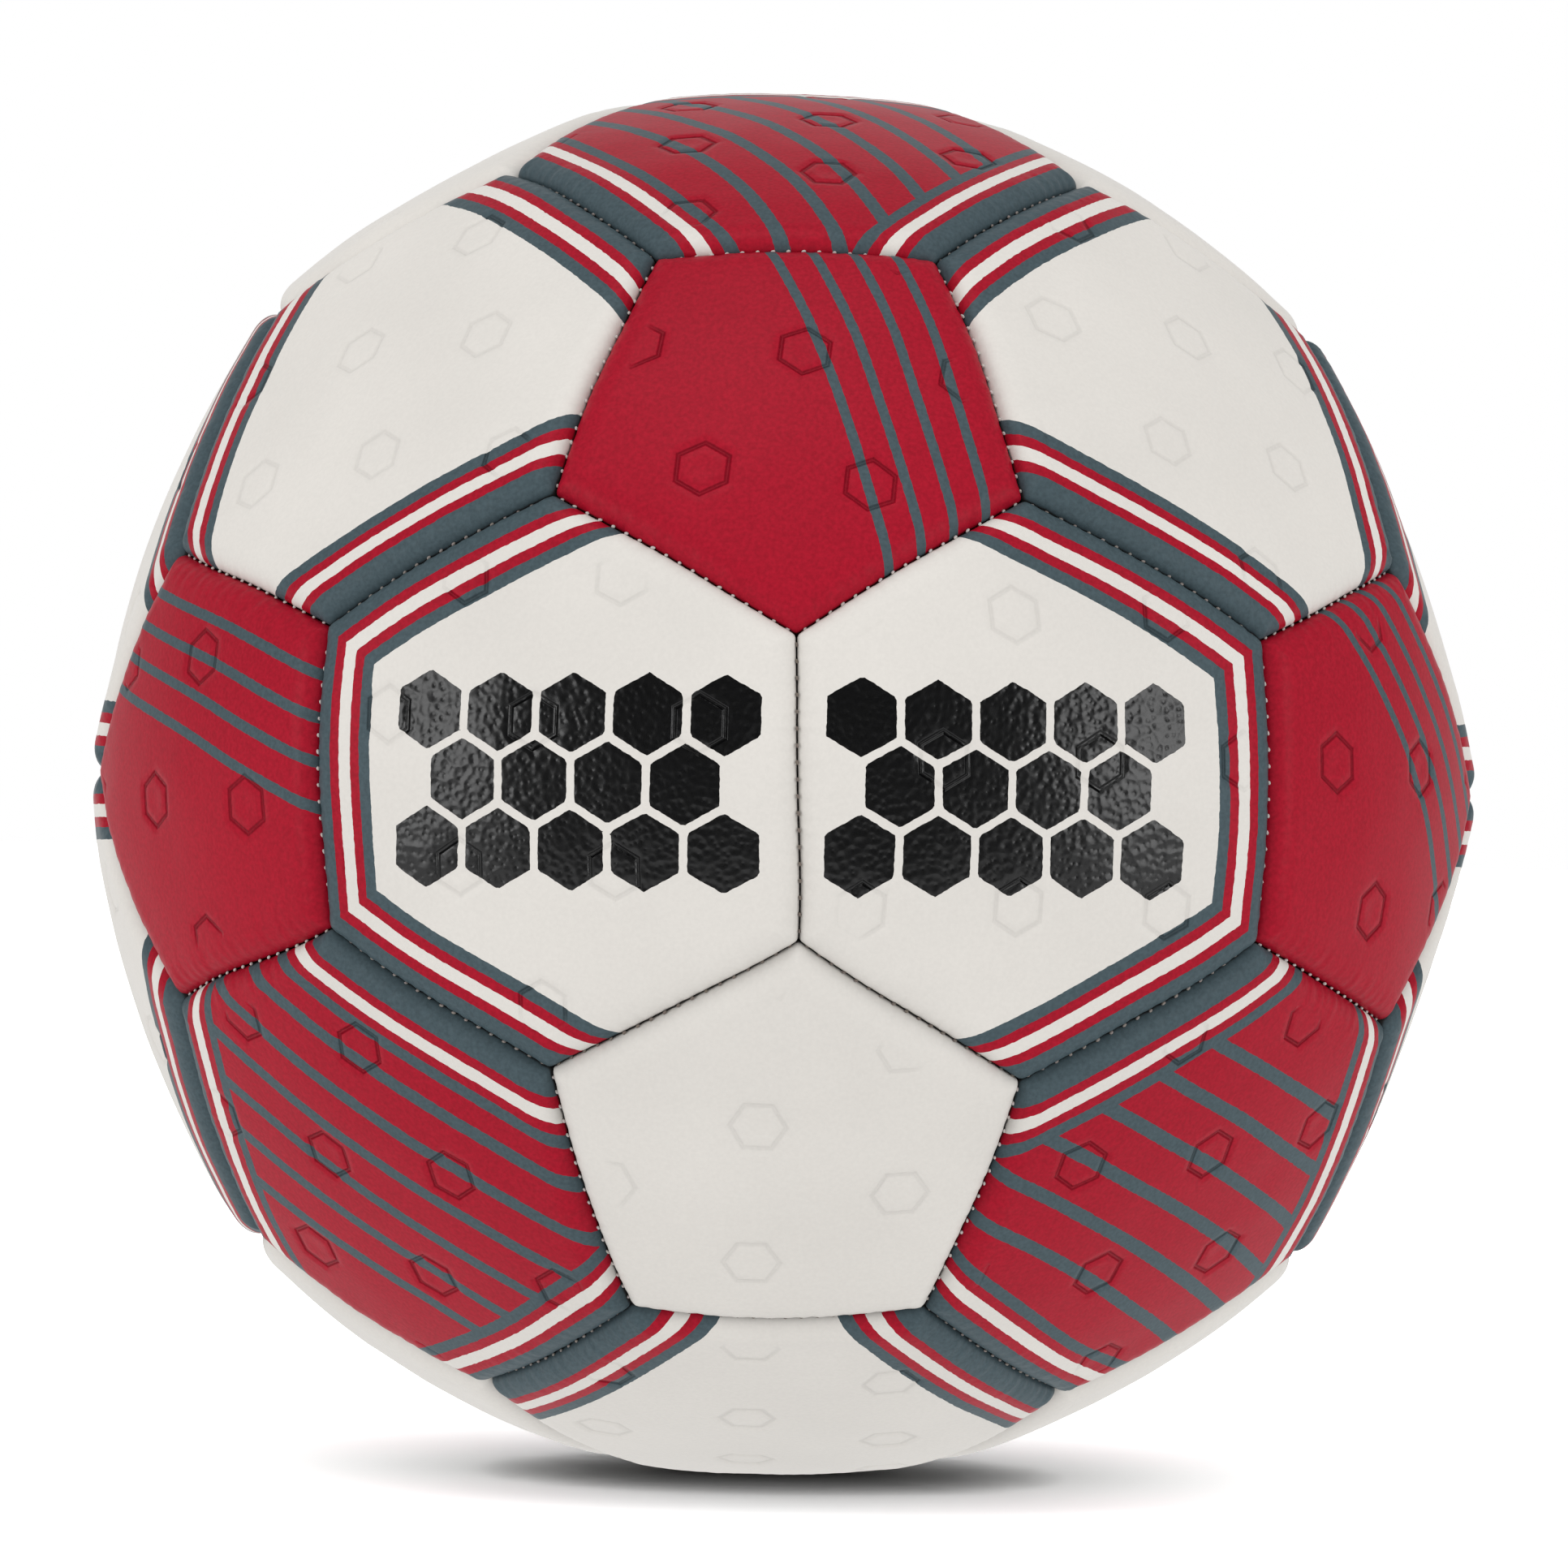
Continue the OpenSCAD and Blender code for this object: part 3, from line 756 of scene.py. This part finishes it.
def stitch_tree():
    """Short oval stitches along a seam, laid in the crease."""
    inputs = {"Count": "Int", "Stitch size": "Vector", "Thread radius": "Float", "Wander": "Float"}
    align = "FunctionNodeAlignRotationToVector"
    sizes = {"Min": STITCH_LEAST, "Max": STITCH_MOST, "Seed": "@in:Seed"}
    beads = {"Points": "@points", "Instance": "@bead", "Rotation": "@slanted", "Scale": "@size"}
    rows = [
        *wander_rows(),
        ("uneven", READ, NUMBERS, {"Name": "uneven"}),
        ("radius", MATH, "ADD", "@in:Thread radius", "@uneven"),
        ("place", VECTOR, "SCALE", {0: "@unit", "Scale": "@radius"}),
        ("set", "GeometryNodeSetPosition", None, {"Geometry": "@in:Geometry", "Position": "@place"}),
        ("curve", "GeometryNodeMeshToCurve", None, {"Mesh": "@set"}),
        ("points", "GeometryNodeResampleCurve", {"mode": "COUNT"}, {"Curve": "@curve", "Count": "@in:Count"}),
        ("tangent", "GeometryNodeInputTangent"),
        ("lay", align, {"axis": "X"}, {"Vector": "@tangent"}),
        ("face", align, {"axis": "Z", "pivot_axis": "X"}, {"Rotation": "@lay", "Vector": "@pos"}),
        ("slant", "ShaderNodeCombineXYZ", None, {"Z": STITCH_SLANT}),
        ("turn", "FunctionNodeEulerToRotation", None, {0: "@slant"}),
        ("slanted", "FunctionNodeRotateRotation", {"rotation_space": "LOCAL"},
         {"Rotation": "@face", "Rotate By": "@turn"}),
        ("vary", "FunctionNodeRandomValue", {"data_type": "FLOAT_VECTOR"}, sizes),
        ("half", VECTOR, "SCALE", {0: "@in:Stitch size", "Scale": 0.5}),
        ("size", VECTOR, "MULTIPLY", "@half", "@vary"),
        ("bead", "GeometryNodeMeshUVSphere", None, {"Segments": 8, "Rings": 6, "Radius": 1.0}),
        ("sewn", "GeometryNodeInstanceOnPoints", None, beads),
        ("real", "GeometryNodeRealizeInstances", None, {"Geometry": "@sewn"}),
        ("made", "GeometryNodeSetShadeSmooth", None, {"Geometry": "@real"}),
    ]
    return new_tree("Seam stitches", {**inputs, "Seed": "Int"}, rows)


# Materials


def printed_leather(name, base, inks, sizes, prints):
    """Coated leather with screen-printed ink: a matt, finely pebbled surface with a soft sheen."""
    place = {"Vector": "@where:Object"}
    cell = (sizes.emboss_pitch, sizes.emboss_pitch * math.sqrt(3), 2.0)
    half_cell = tuple(c / 2 for c in cell)
    low_cell = tuple(-c for c in half_cell)
    slope = (0.5, math.sqrt(3) / 2, 0.0)
    rows = [
        (n, "ShaderNodeAttribute", {"attribute_name": n})
        for n in ("border", "bars", "tile", "edge", "spot_x", "spot_y")
    ]
    rows += [
        # The ink's edge wavers by about a tenth of a millimetre
        ("ragged", NOISE, None, {**place, "Scale": 1100.0, "Detail": 1.0}),
        ("waver", MATH, "MULTIPLY_ADD", "@ragged", 0.24 * MM, -0.12 * MM),
        ("border_at", MATH, "ADD", "@border:Fac", "@waver"),
        ("bars_waver", MATH, "MULTIPLY_ADD", "@ragged", 0.04, -0.02),
        ("bars_at", MATH, "ADD", "@bars:Fac", "@bars_waver"),
        ("tile_at", MATH, "ADD", "@tile:Fac", "@waver"),
        ("in_border", MATH, "LESS_THAN", "@border_at", prints.border_width),
        ("in_red", MATH, "COMPARE", "@border_at", prints.piping_middle, prints.piping_width / 2),
        ("in_white", MATH, "COMPARE", "@border_at", prints.piping_middle, prints.piping_core / 2),
        ("bar_far", MATH, "PINGPONG", "@bars_at", 0.5),
        ("in_bar", MATH, "LESS_THAN", "@bar_far", prints.bar_share / 2),
        ("in_slate", MATH, "MAXIMUM", "@in_border", "@in_bar"),
        ("in_black", MATH, "LESS_THAN", "@tile_at", 0.0),
        # The thick black ink has a clear film
        ("film", MATH, "MULTIPLY", "@in_black", 0.8),
        # Fine speckle of the coating, about 0.5 mm across, and blotches of 26 mm
        ("speckle", NOISE, None, {**place, "Scale": 1900.0, "Detail": 2.0}),
        ("dark_level", RAMP, None, "@speckle", 0.3, 0.7, 0.86, 1.12),
        ("pale_level", RAMP, None, "@speckle", 0.3, 0.7, 0.975, 1.015),
        ("blotch", NOISE, None, {**place, "Scale": 38.0, "Detail": 3.0}),
        ("blotch_level", RAMP, None, "@blotch", 0.3, 0.7, 0.965, 1.02),
    ]
    under = base
    for ink in ("slate", "red", "white", "black"):
        rows.append((ink, MIX, COLOURS, {0: "@in_" + ink, 6: under, 7: inks[ink]}))
        under = f"@{ink}:2"
    rows += [
        # Pale leather hardly speckles, dark and red ink do
        ("parts", "ShaderNodeSeparateColor", None, "@black:2"),
        ("pale", MATH, "GREATER_THAN", "@parts:Green", 0.4),
        ("speckled", MIX, NUMBERS, {0: "@pale", 2: "@dark_level", 3: "@pale_level"}),
        ("level", MATH, "MULTIPLY", "@speckled", "@blotch_level"),
        # Pressed hexagon rings, on two lattices that fill each other's gaps
        ("spot_1", "ShaderNodeCombineXYZ", None, "@spot_x:Fac", "@spot_y:Fac"),
        ("spot_2", VECTOR, "ADD", "@spot_1", (half_cell[0], half_cell[1], 0.0)),
    ]
    for k in "12":
        rows += [
            ("near_" + k, VECTOR, "WRAP", "@spot_" + k, half_cell, low_cell),
            ("fold_" + k, VECTOR, "ABSOLUTE", "@near_" + k),
            ("slope_" + k, VECTOR, "DOT_PRODUCT", "@fold_" + k, slope),
            ("side_" + k, "ShaderNodeSeparateXYZ", None, "@fold_" + k),
            ("far_" + k, MATH, "MAXIMUM", f"@slope_{k}:Value", f"@side_{k}:X"),
        ]
    rows += [
        ("far", MATH, "MINIMUM", "@far_1", "@far_2"),
        ("off_line", MATH, "SUBTRACT", "@far", sizes.emboss_width / 2),
        ("off", MATH, "ABSOLUTE", "@off_line"),
        ("line", RAMP, SMOOTH, "@off", 0.05 * MM, 0.42 * MM, 1.0, 0.0),
        ("clear", RAMP, SMOOTH, "@edge:Fac", MARK_MARGIN, 6 * MM),
        ("groove", MATH, "MULTIPLY", "@line", "@clear"),
        # Painted shade: the pressed line is darker, more so in ink
        ("line_tone", MIX, NUMBERS, {0: "@pale", 2: -0.35, 3: -0.06}),
        ("line_level", MATH, "MULTIPLY_ADD", "@groove", "@line_tone", 1.0),
        ("tone", MATH, "MULTIPLY", "@level", "@line_level"),
        ("tones", "ShaderNodeCombineColor", None, "@tone", "@tone", "@tone"),
        ("shaded", MIX, {**COLOURS, "blend_type": "MULTIPLY"}, {0: 1.0, 6: "@black:2", 7: "@tones"}),
        # Grime and painted shade in the crease, where the leather turns in
        ("grime_edge", MATH, "MULTIPLY_ADD", "@ragged", 0.1 * MM, "@edge:Fac"),
        ("grime", RAMP, SMOOTH, "@grime_edge", 0.06 * MM, 0.18 * MM, 0.8, 0.0),
        ("colour", MIX, COLOURS, {0: "@grime", 6: "@shaded:2", 7: inks["grime"]}),
        # The line shows more in ink than in bare pale leather; heights are in millimetres
        ("depth", MIX, NUMBERS, {0: "@pale", 2: -0.3, 3: -0.07}),
        ("pressed", MATH, "MULTIPLY", "@groove", "@depth"),
        # Pebbles of the coating, 0.6 mm apart, and the wrinkled skin of the thick black ink
        ("pebbles", "ShaderNodeTexVoronoi", None, {**place, "Scale": 1700.0}),
        ("skin", "ShaderNodeTexVoronoi", {"feature": "SMOOTH_F1"}, {**place, "Scale": 1150.0}),
        ("pebble_high", MATH, "MULTIPLY", "@pebbles:Distance", 0.012),
        ("skin_high", MATH, "MULTIPLY", "@skin:Distance", 0.11),
        ("grain", MIX, NUMBERS, {0: "@in_black", 2: "@pebble_high", 3: "@skin_high"}),
        ("high", MATH, "ADD", "@grain", "@pressed"),
        ("bump", "ShaderNodeBump", None, {"Strength": 1.0, "Distance": MM, "Height": "@high"}),
    ]
    return new_material(name, rows, roughness=0.42, specular=0.09, film="@film")


def thread_material(light, soiled):
    """Waxed polyester thread: fine fibres with a dull sheen, darker where it is soiled."""
    tint = {0: "@soil:Fac", 6: light, 7: soiled}
    rows = [
        ("soil", "ShaderNodeAttribute", {"attribute_name": "soil"}),
        ("fibre", NOISE, None, {"Vector": "@where:Object", "Scale": 4000.0, "Detail": 2.0}),
        ("tint", MIX, COLOURS, tint),
        ("colour", MIX, {**COLOURS, "blend_type": "MULTIPLY"}, {0: 0.3, 6: "@tint:2", 7: "@fibre:Color"}),
        ("bump", "ShaderNodeBump", None, {"Strength": 0.5, "Distance": 0.05 * MM, "Height": "@fibre"}),
    ]
    return new_material("waxed_polyester_thread", rows, roughness=0.55)


def layer_material(name, pale, dark, texture, scale, roughness, depth):
    """One of the inner layers: a pattern between two colours, which is also its relief."""
    kind, settings, output = texture
    pattern = "@pattern" + output
    rows = [
        ("pattern", kind, settings, {"Vector": "@where:Object", "Scale": scale}),
        ("colour", MIX, COLOURS, {0: pattern, 6: linear(pale), 7: linear(dark)}),
        ("bump", "ShaderNodeBump", None, {"Strength": 0.6, "Distance": depth, "Height": pattern}),
    ]
    return new_material(name, rows, roughness)


# Settings


def length(name, description, default):
    """A length property in metres."""
    return bpy.props.FloatProperty(
        name=name, description=description, default=default, min=0.0,
        subtype="DISTANCE", unit="LENGTH", precision=5,
    )


def amount(name, description, default, **limits):
    """A number property, never below nought unless its limits say so."""
    limits = {"min": 0.0, **limits}
    return bpy.props.FloatProperty(name=name, description=description, default=default, **limits)


def colour(name, description, default):
    """A colour property from a hex value."""
    return bpy.props.FloatVectorProperty(
        name=name, description=description, default=linear(default),
        size=4, min=0.0, max=1.0, subtype="COLOR",
    )


class HandballPanelSettings(bpy.types.PropertyGroup):
    """Sizes of the sewn panels."""

    shoulder_r: length("Shoulder width", "Width of the round shoulder along each seam", 4.2 * MM)
    shoulder_depth: length("Shoulder depth", "How deep the shoulder falls before panels touch", 2.7 * MM)
    leather: length("Leather thickness", "Thickness of the leather", 1.3 * MM)
    dimple: length("Dimple depth", "How far each stitch pulls the shoulder in", 0.14 * MM)
    pleat: length("Pleat depth", "Height of the pleats beside the seams", 0.6 * MM)
    swell: length("Swell", "Unevenness of the stuffing", 0.8 * MM)
    wander: length("Wander", "How far a seam strays from its true line", 0.9 * MM)
    emboss_depth: length("Emboss depth", "Depth of the pressed marks", 0.42 * MM)
    emboss_width: length("Emboss width", "Width of a pressed mark", 6.4 * MM)
    emboss_line: length("Emboss line", "Half the width of the pressed groove", 0.9 * MM)
    emboss_pitch: length("Emboss pitch", "Distance between pressed marks", 22 * MM)


class HandballPrintSettings(bpy.types.PropertyGroup):
    """Sizes and colours of the print."""

    border_width: length("Border width", "Width of the slate border along a seam", 9.6 * MM)
    piping_middle: length("Piping distance", "Distance from the seam to the middle of the piping", 5.6 * MM)
    piping_width: length("Piping width", "Width of the red piping", 4.6 * MM)
    piping_core: length("Piping core", "Width of the white line in the piping", 1.8 * MM)
    bar_share: amount("Bar share", "Width of a slate bar as a share of the bars' pitch", 0.27, max=1.0)
    tile_width: length("Tile width", "Width of a black tile", 9 * MM)
    tile_pitch: length("Tile pitch", "Distance between black tiles", 10.1 * MM)
    tile_start: length("Tile start", "Distance from the front seam to the first tile's middle", 8.6 * MM)
    red: colour("Red", "Red leather and ink", "#A8142A")
    white: colour("Off-white", "Undyed pale leather", "#E4E0DA")
    slate: colour("Slate", "Slate ink", "#4B5A60")
    black: colour("Black", "Thick glossy ink", "#060607")
    # Crease colour: grime and painted shade down in the seams
    grime: colour("Crease", "Grime down in the seams", "#2E241F")


class HandballStitchSettings(bpy.types.PropertyGroup):
    """Sizes and colours of the seam thread."""

    pitch: length("Stitch pitch", "Distance from stitch to stitch", 2.1 * MM)
    count: bpy.props.IntProperty(name="Stitches", description="Stitches along a seam", default=18, min=2)
    long: length("Stitch length", "Visible length of a stitch", 0.62 * MM)
    thick: length("Thread diameter", "Diameter of the waxed thread", 0.42 * MM)
    radius: length("Thread radius", "Distance of the thread from the ball's middle", 92.6 * MM)
    light: colour("Thread", "Clean polyester thread", "#DAD0CC")
    soiled: colour("Soiled thread", "Thread darkened by wax and use", "#7D7168")


class HandballStageSettings(bpy.types.PropertyGroup):
    """The floor, the lamps and the camera."""

    lens: amount("Lens", "Focal length in millimetres", 190.6, min=1.0)
    distance: length("Camera distance", "From the ball's middle", 1.13)
    world: amount("World", "Strength of the room's light", 0.72)
    table: amount("Table", "Light of the white table on the object", 0.84)
    sweep: amount("Sweep", "Over-exposure of the white sweep", 2.5)
    dim: amount("Dim side", "Mirrored light of the dark side round the camera", 0.06)
    key: amount("Key lamp", "Power of the lamp above", 2.0)
    side: amount("Side lamps", "Power of each lamp beside", 2.4)
    low: amount("Low lamp", "Power of the lamp low in front", 0.2)


# Operators


class HANDBALL_OT_leather_panels(bpy.types.Operator):
    """Makes the thirty-two sewn leather panels with their print"""

    bl_idname = "handball.leather_panels"
    bl_label = "Leather panels"

    def execute(self, context):
        sizes, prints = context.scene.handball_panels, context.scene.handball_print
        inks = {k: list(getattr(prints, k)) for k in ("red", "white", "slate", "black", "grime")}
        finishes = {
            "red_leather": printed_leather("red_coated_leather", inks["red"], inks, sizes, prints),
            "white_leather": printed_leather("pale_coated_leather", inks["white"], inks, sizes, prints),
        }
        shared = {
            "Shoulder width": sizes.shoulder_r,
            "Shoulder depth": sizes.shoulder_depth,
            "Leather thickness": sizes.leather,
            "Stitch pitch": context.scene.handball_stitches.pitch,
            "Dimple depth": sizes.dimple,
            "Pleat depth": sizes.pleat,
            "Swell": sizes.swell,
            "Emboss depth": sizes.emboss_depth,
            "Wander": sizes.wander,
        }
        tree = form_tree(("Top radius", "Crown radius", "Flattening", "Seed", *shared))
        grids = {}
        for number, panel in enumerate(ball_panels()):
            name, sides = panel["name"], panel["sides"]
            hole = NECK_HOLE_R if name == VALVE_PANEL else 0.0
            if (sides, hole) not in grids:
                grids[sides, hole] = panel_grid(sides, sizes.leather, sizes.shoulder_r, hole)
            mesh = panel_mesh(panel, grids[sides, hole], sizes, prints)
            top = FLATTER_TOP_R if name in FLATTER else TOP_R[sides]
            own = {
                "Top radius": top,
                "Crown radius": crown_radius(sides, top),
                "Flattening": SLACK.get(name, 0.0),
                "Seed": float(number),
                "Material": finishes[panel["slot"]],
            }
            piece = apply_tree("sewn_" + name, mesh, tree, {**shared, **own})
            piece.data.set_sharp_from_angle(angle=SHARP_ANGLE)
            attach(piece, "root")
            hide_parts(panel["name"])
        return {"FINISHED"}


def seam_points(panel, other, count, reach):
    """Directions along the seam between two panels, in even steps to both sides of its middle."""
    turn, axis = EDGE_ANGLE[panel["sides"]], panel["axis"]
    across = (other["axis"] - axis * other["axis"].dot(axis)).normalized()
    middle = axis * math.cos(turn) + across * math.sin(turn)
    side = middle.cross((axis - middle * axis.dot(middle)).normalized())
    angles = [(2 * k / (count - 1) - 1) * reach for k in range(count)]
    return [tuple(middle * math.cos(angle) + side * math.sin(angle)) for angle in angles]


def thread_state(panel, other):
    """How soiled the thread between two panels is, and how far it stands proud."""
    hexagons = panel["sides"] == other["sides"]
    if panel["slot"] == other["slot"] == "white_leather":
        if is_front_pair(panel, other):
            return 1.0, PROUD
        if not hexagons:
            return 1.0, 0.0
    return (0.7, -LOW) if hexagons else (0.0, 0.0)


class HANDBALL_OT_seam_stitches(bpy.types.Operator):
    """Lays the visible stitches into the ninety seams"""

    bl_idname = "handball.seam_stitches"
    bl_label = "Seam stitches"

    def execute(self, context):
        sizes = context.scene.handball_stitches
        panels = ball_panels()
        thread = thread_material(list(sizes.light), list(sizes.soiled))
        tree = stitch_tree()
        reach = (sizes.count - 1) / 2 * sizes.pitch / CREST_R
        for sides, title in ((5, "pentagon"), (6, "hexagon")):
            points, edges, soil, proud = [], [], [], []
            seams = [
                (panel, other)
                for index, panel in enumerate(panels)
                for other in panel["around"]
                if other in panels[index + 1 :] and min(panel["sides"], other["sides"]) == sides
            ]
            for panel, other in seams:
                start = len(points)
                points += seam_points(panel, other, 2 * sizes.count - 1, reach)
                dark, height = thread_state(panel, other)
                soil += [dark] * (len(points) - start)
                proud += [height] * (len(points) - start)
                edges += [(i, i + 1) for i in range(start, len(points) - 1)]
            points = np.array(points)
            mesh = bpy.data.meshes.new(title + "_seam_lines")
            mesh.from_pydata(settle(points).tolist(), edges, [])
            for key, values in (("soil", soil), ("uneven", stand_out(points) + proud)):
                mesh.attributes.new(key, "FLOAT", "POINT").data.foreach_set("value", values)
            values = {
                "Count": sizes.count,
                "Stitch size": (sizes.long, sizes.thick, sizes.thick),
                "Thread radius": sizes.radius,
                "Wander": context.scene.handball_panels.wander,
                "Seed": sides,
                "Material": thread,
            }
            piece = apply_tree(title + "_seam_stitches", mesh, tree, values)
            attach(piece, "root")
            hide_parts(title + "_seam_threads")
        return {"FINISHED"}


class HANDBALL_OT_inner_layers(bpy.types.Operator):
    """Gives the foam, the backing, the bladder and the valve their finishes"""

    bl_idname = "handball.inner_layers"
    bl_label = "Inner layers"

    def execute(self, context):
        cells = ("ShaderNodeTexVoronoi", {"feature": "F1"}, ":Distance")
        weave = ("ShaderNodeTexWave", {"wave_type": "BANDS", "bands_direction": "DIAGONAL"}, ":Fac")
        cloud = (NOISE, {}, ":Fac")
        layers = {
            # Latex foam: open cells about a millimetre across
            "foams": ("latex_foam", "#D8CDB4", "#A99A7C", cells, 1000.0, 0.9, 0.3 * MM),
            # Woven cotton and polyester, threads about 0.7 mm apart
            "backings": ("woven_textile_backing", "#E3D8B4", "#B7A981", weave, 450.0, 0.85, 0.15 * MM),
            # Butyl rubber, moulded, faintly mottled and dusted with talc
            "bladder": ("moulded_butyl_rubber", "#2B2C2F", "#3B3C40", cloud, 60.0, 0.55, 0.1 * MM),
            # Moulded rubber of the valve, darker and smoother
            "valve_body": ("moulded_valve_rubber", "#232326", "#2E2E32", cloud, 300.0, 0.5, 0.03 * MM),
            # Silicone of the self-sealing core, grey and smooth
            "valve_core": (
                "self_sealing_silicone_rubber", "#8B8E91", "#777A7E", cloud, 300.0, 0.45, 0.02 * MM
            ),
        }
        finishes = {ending: layer_material(*layer) for ending, layer in layers.items()}
        for name, node in frame["nodes"].items():
            for ending, material in finishes.items():
                if not name.endswith(ending):
                    continue
                piece = node
                if ending in ("foams", "backings"):
                    piece = settled_layer(name)
                piece.data.materials.clear()
                piece.data.materials.append(material)
        return {"FINISHED"}


class HANDBALL_OT_stage(bpy.types.Operator):
    """Makes the floor, the lamps, the pale surroundings and the camera"""

    bl_idname = "handball.stage"
    bl_label = "Stage"

    def execute(self, context):
        sizes, scene = context.scene.handball_stage, context.scene
        scene.view_settings.view_transform = "Standard"

        # The camera takes the turn of the ball the other way round
        back = Matrix.Rotation(-PICTURE_TURN.length, 4, PICTURE_TURN.normalized())
        upright = Matrix.Rotation(math.radians(90), 4, "X")
        camera = add_object("camera", bpy.data.cameras.new("camera"))
        camera.data.lens = sizes.lens
        camera.data.sensor_width = 36.0
        camera.data.clip_end = 50.0
        place = Matrix.Translation((0, -sizes.distance, -CAMERA_DROP))
        camera.matrix_world = back @ place @ upright
        scene.camera = camera

        low = CAD_BOX[0].z
        mesh = bpy.data.meshes.new("floor")
        square = ((-1, -1), (1, -1), (1, 1), (-1, 1))
        corners = [(x * FLOOR_REACH, y * FLOOR_REACH, low) for x, y in square]
        mesh.from_pydata(corners, [], [(0, 1, 2, 3)])
        paper = bpy.data.materials.new("matt_white_paper")
        paper.use_nodes = True
        paper.cycles.emission_sampling = "NONE"
        mesh.materials.append(paper)
        floor = add_object("floor", mesh)
        rows = [
            ("path", "ShaderNodeLightPath"),
            # The camera sees the sweep over-exposed, with the shadow left in it, and a painted contact
            # shadow, from ambient occlusion, where the ball is less than a centimetre above it
            ("gain", MATH, "MULTIPLY", "@path:Is Camera Ray", sizes.sweep),
            ("open", "ShaderNodeAmbientOcclusion", None, {"Distance": CONTACT_REACH}),
            ("free", MATH, "MULTIPLY_ADD", "@open:AO", CONTACT_SHARE, 1 - CONTACT_SHARE),
            ("level", MATH, "MULTIPLY", "@gain", "@free"),
            ("tone", "ShaderNodeCombineColor", None, "@level", "@level", "@level"),
            ("paper", "ShaderNodeBsdfDiffuse", None, {"Color": "@tone"}),
            # The object is lit by it as by a bright table, whose light it doesn't throw back
            ("first", MATH, "LESS_THAN", "@path:Diffuse Depth", 1.5),
            ("lit", MATH, "MULTIPLY", "@first", sizes.table),
            # Mirrored, the table is white up to where it ends, half a metre in front
            ("mirrored", MATH, "MAXIMUM", "@path:Is Glossy Ray", "@path:Is Transmission Ray"),
            ("spot", "ShaderNodeNewGeometry"),
            ("depth", "ShaderNodeSeparateXYZ", None, "@spot:Position"),
            ("top", RAMP, SMOOTH, "@depth:Y", *TABLE_FADE, sizes.dim, 1.0),
            ("shine", MIX, NUMBERS, {0: "@mirrored", 2: "@lit", 3: "@top"}),
            ("table", "ShaderNodeEmission", None, {"Color": WHITE, "Strength": "@shine"}),
            ("side", "ShaderNodeMixShader", None, "@path:Is Camera Ray", "@table", "@paper"),
            ("out", "ShaderNodeOutputMaterial", None, {"Surface": "@side"}),
        ]
        grow(paper.node_tree, rows)

        scene.world = bpy.data.worlds.new("studio")
        scene.world.use_nodes = True
        rows = [
            ("path", "ShaderNodeLightPath"),
            ("seen", MATH, "MAXIMUM", "@path:Is Camera Ray", "@path:Is Glossy Ray"),
            ("seen_all", MATH, "MAXIMUM", "@seen", "@path:Is Transmission Ray"),
            # Mirrored, the room is white but for the dark side round the camera
            ("where", "ShaderNodeTexCoord"),
            ("side", "ShaderNodeSeparateXYZ", None, "@where:Generated"),
            ("room", RAMP, SMOOTH, "@side:Y", 0.3, 1.0, sizes.dim, 1.0),
            ("mirror", MATH, "MAXIMUM", "@path:Is Camera Ray", "@room"),
            ("strength", MIX, NUMBERS, {0: "@seen_all", 2: sizes.world, 3: "@mirror"}),
            ("sky", "ShaderNodeBackground", None, {"Color": WHITE, "Strength": "@strength"}),
            ("out", "ShaderNodeOutputWorld", None, {"Surface": "@sky"}),
        ]
        grow(scene.world.node_tree, rows)

        lamps = (
            ("lamp_above", (-0.15, -0.45, 1.05), 0.6, sizes.key),
            ("lamp_left", (-1.05, -0.7, 0.1), 0.45, sizes.side),
            ("lamp_right", (1.05, -0.7, 0.1), 0.45, sizes.side),
            ("lamp_low", (0.0, -1.1, 0.0), 0.5, sizes.low),
        )
        for name, place, size, power in lamps:
            lamp = add_object(name, bpy.data.lights.new(name, "AREA"))
            lamp.data.shape = "DISK"
            lamp.data.size = size
            lamp.data.energy = power
            lamp.location = place
            lamp.rotation_euler = (-Vector(place)).to_track_quat("-Z", "Y").to_euler()
        return {"FINISHED"}


class HANDBALL_PT_sidebar(bpy.types.Panel):
    """Lists the steps of the ball"""

    bl_label = "Handball"
    bl_idname = "HANDBALL_PT_sidebar"
    bl_space_type = "VIEW_3D"
    bl_region_type = "UI"
    bl_category = "Handball"

    def draw(self, context):
        for step in STEPS:
            self.layout.operator(step.bl_idname)
        for name in SETTINGS:
            group = getattr(context.scene, name)
            box = self.layout.box()
            for key in group.bl_rna.properties.keys():
                if key not in ("rna_type", "name"):
                    box.prop(group, key)


SETTINGS = {
    "handball_panels": HandballPanelSettings,
    "handball_print": HandballPrintSettings,
    "handball_stitches": HandballStitchSettings,
    "handball_stage": HandballStageSettings,
}
STEPS = (
    HANDBALL_OT_stage,
    HANDBALL_OT_leather_panels,
    HANDBALL_OT_seam_stitches,
    HANDBALL_OT_inner_layers,
)


def register():
    for kind in (*SETTINGS.values(), *STEPS, HANDBALL_PT_sidebar):
        bpy.utils.register_class(kind)
    for name, kind in SETTINGS.items():
        setattr(bpy.types.Scene, name, bpy.props.PointerProperty(type=kind))


def unregister():
    for name in SETTINGS:
        delattr(bpy.types.Scene, name)
    for kind in (HANDBALL_PT_sidebar, *reversed(STEPS), *reversed(SETTINGS.values())):
        bpy.utils.unregister_class(kind)


def main():
    """Runs every step in order."""
    register()
    bpy.ops.handball.stage()
    bpy.ops.handball.leather_panels()
    bpy.ops.handball.seam_stitches()
    bpy.ops.handball.inner_layers()
    bpy.context.view_layer.update()


if __name__ == "__main__":
    main()
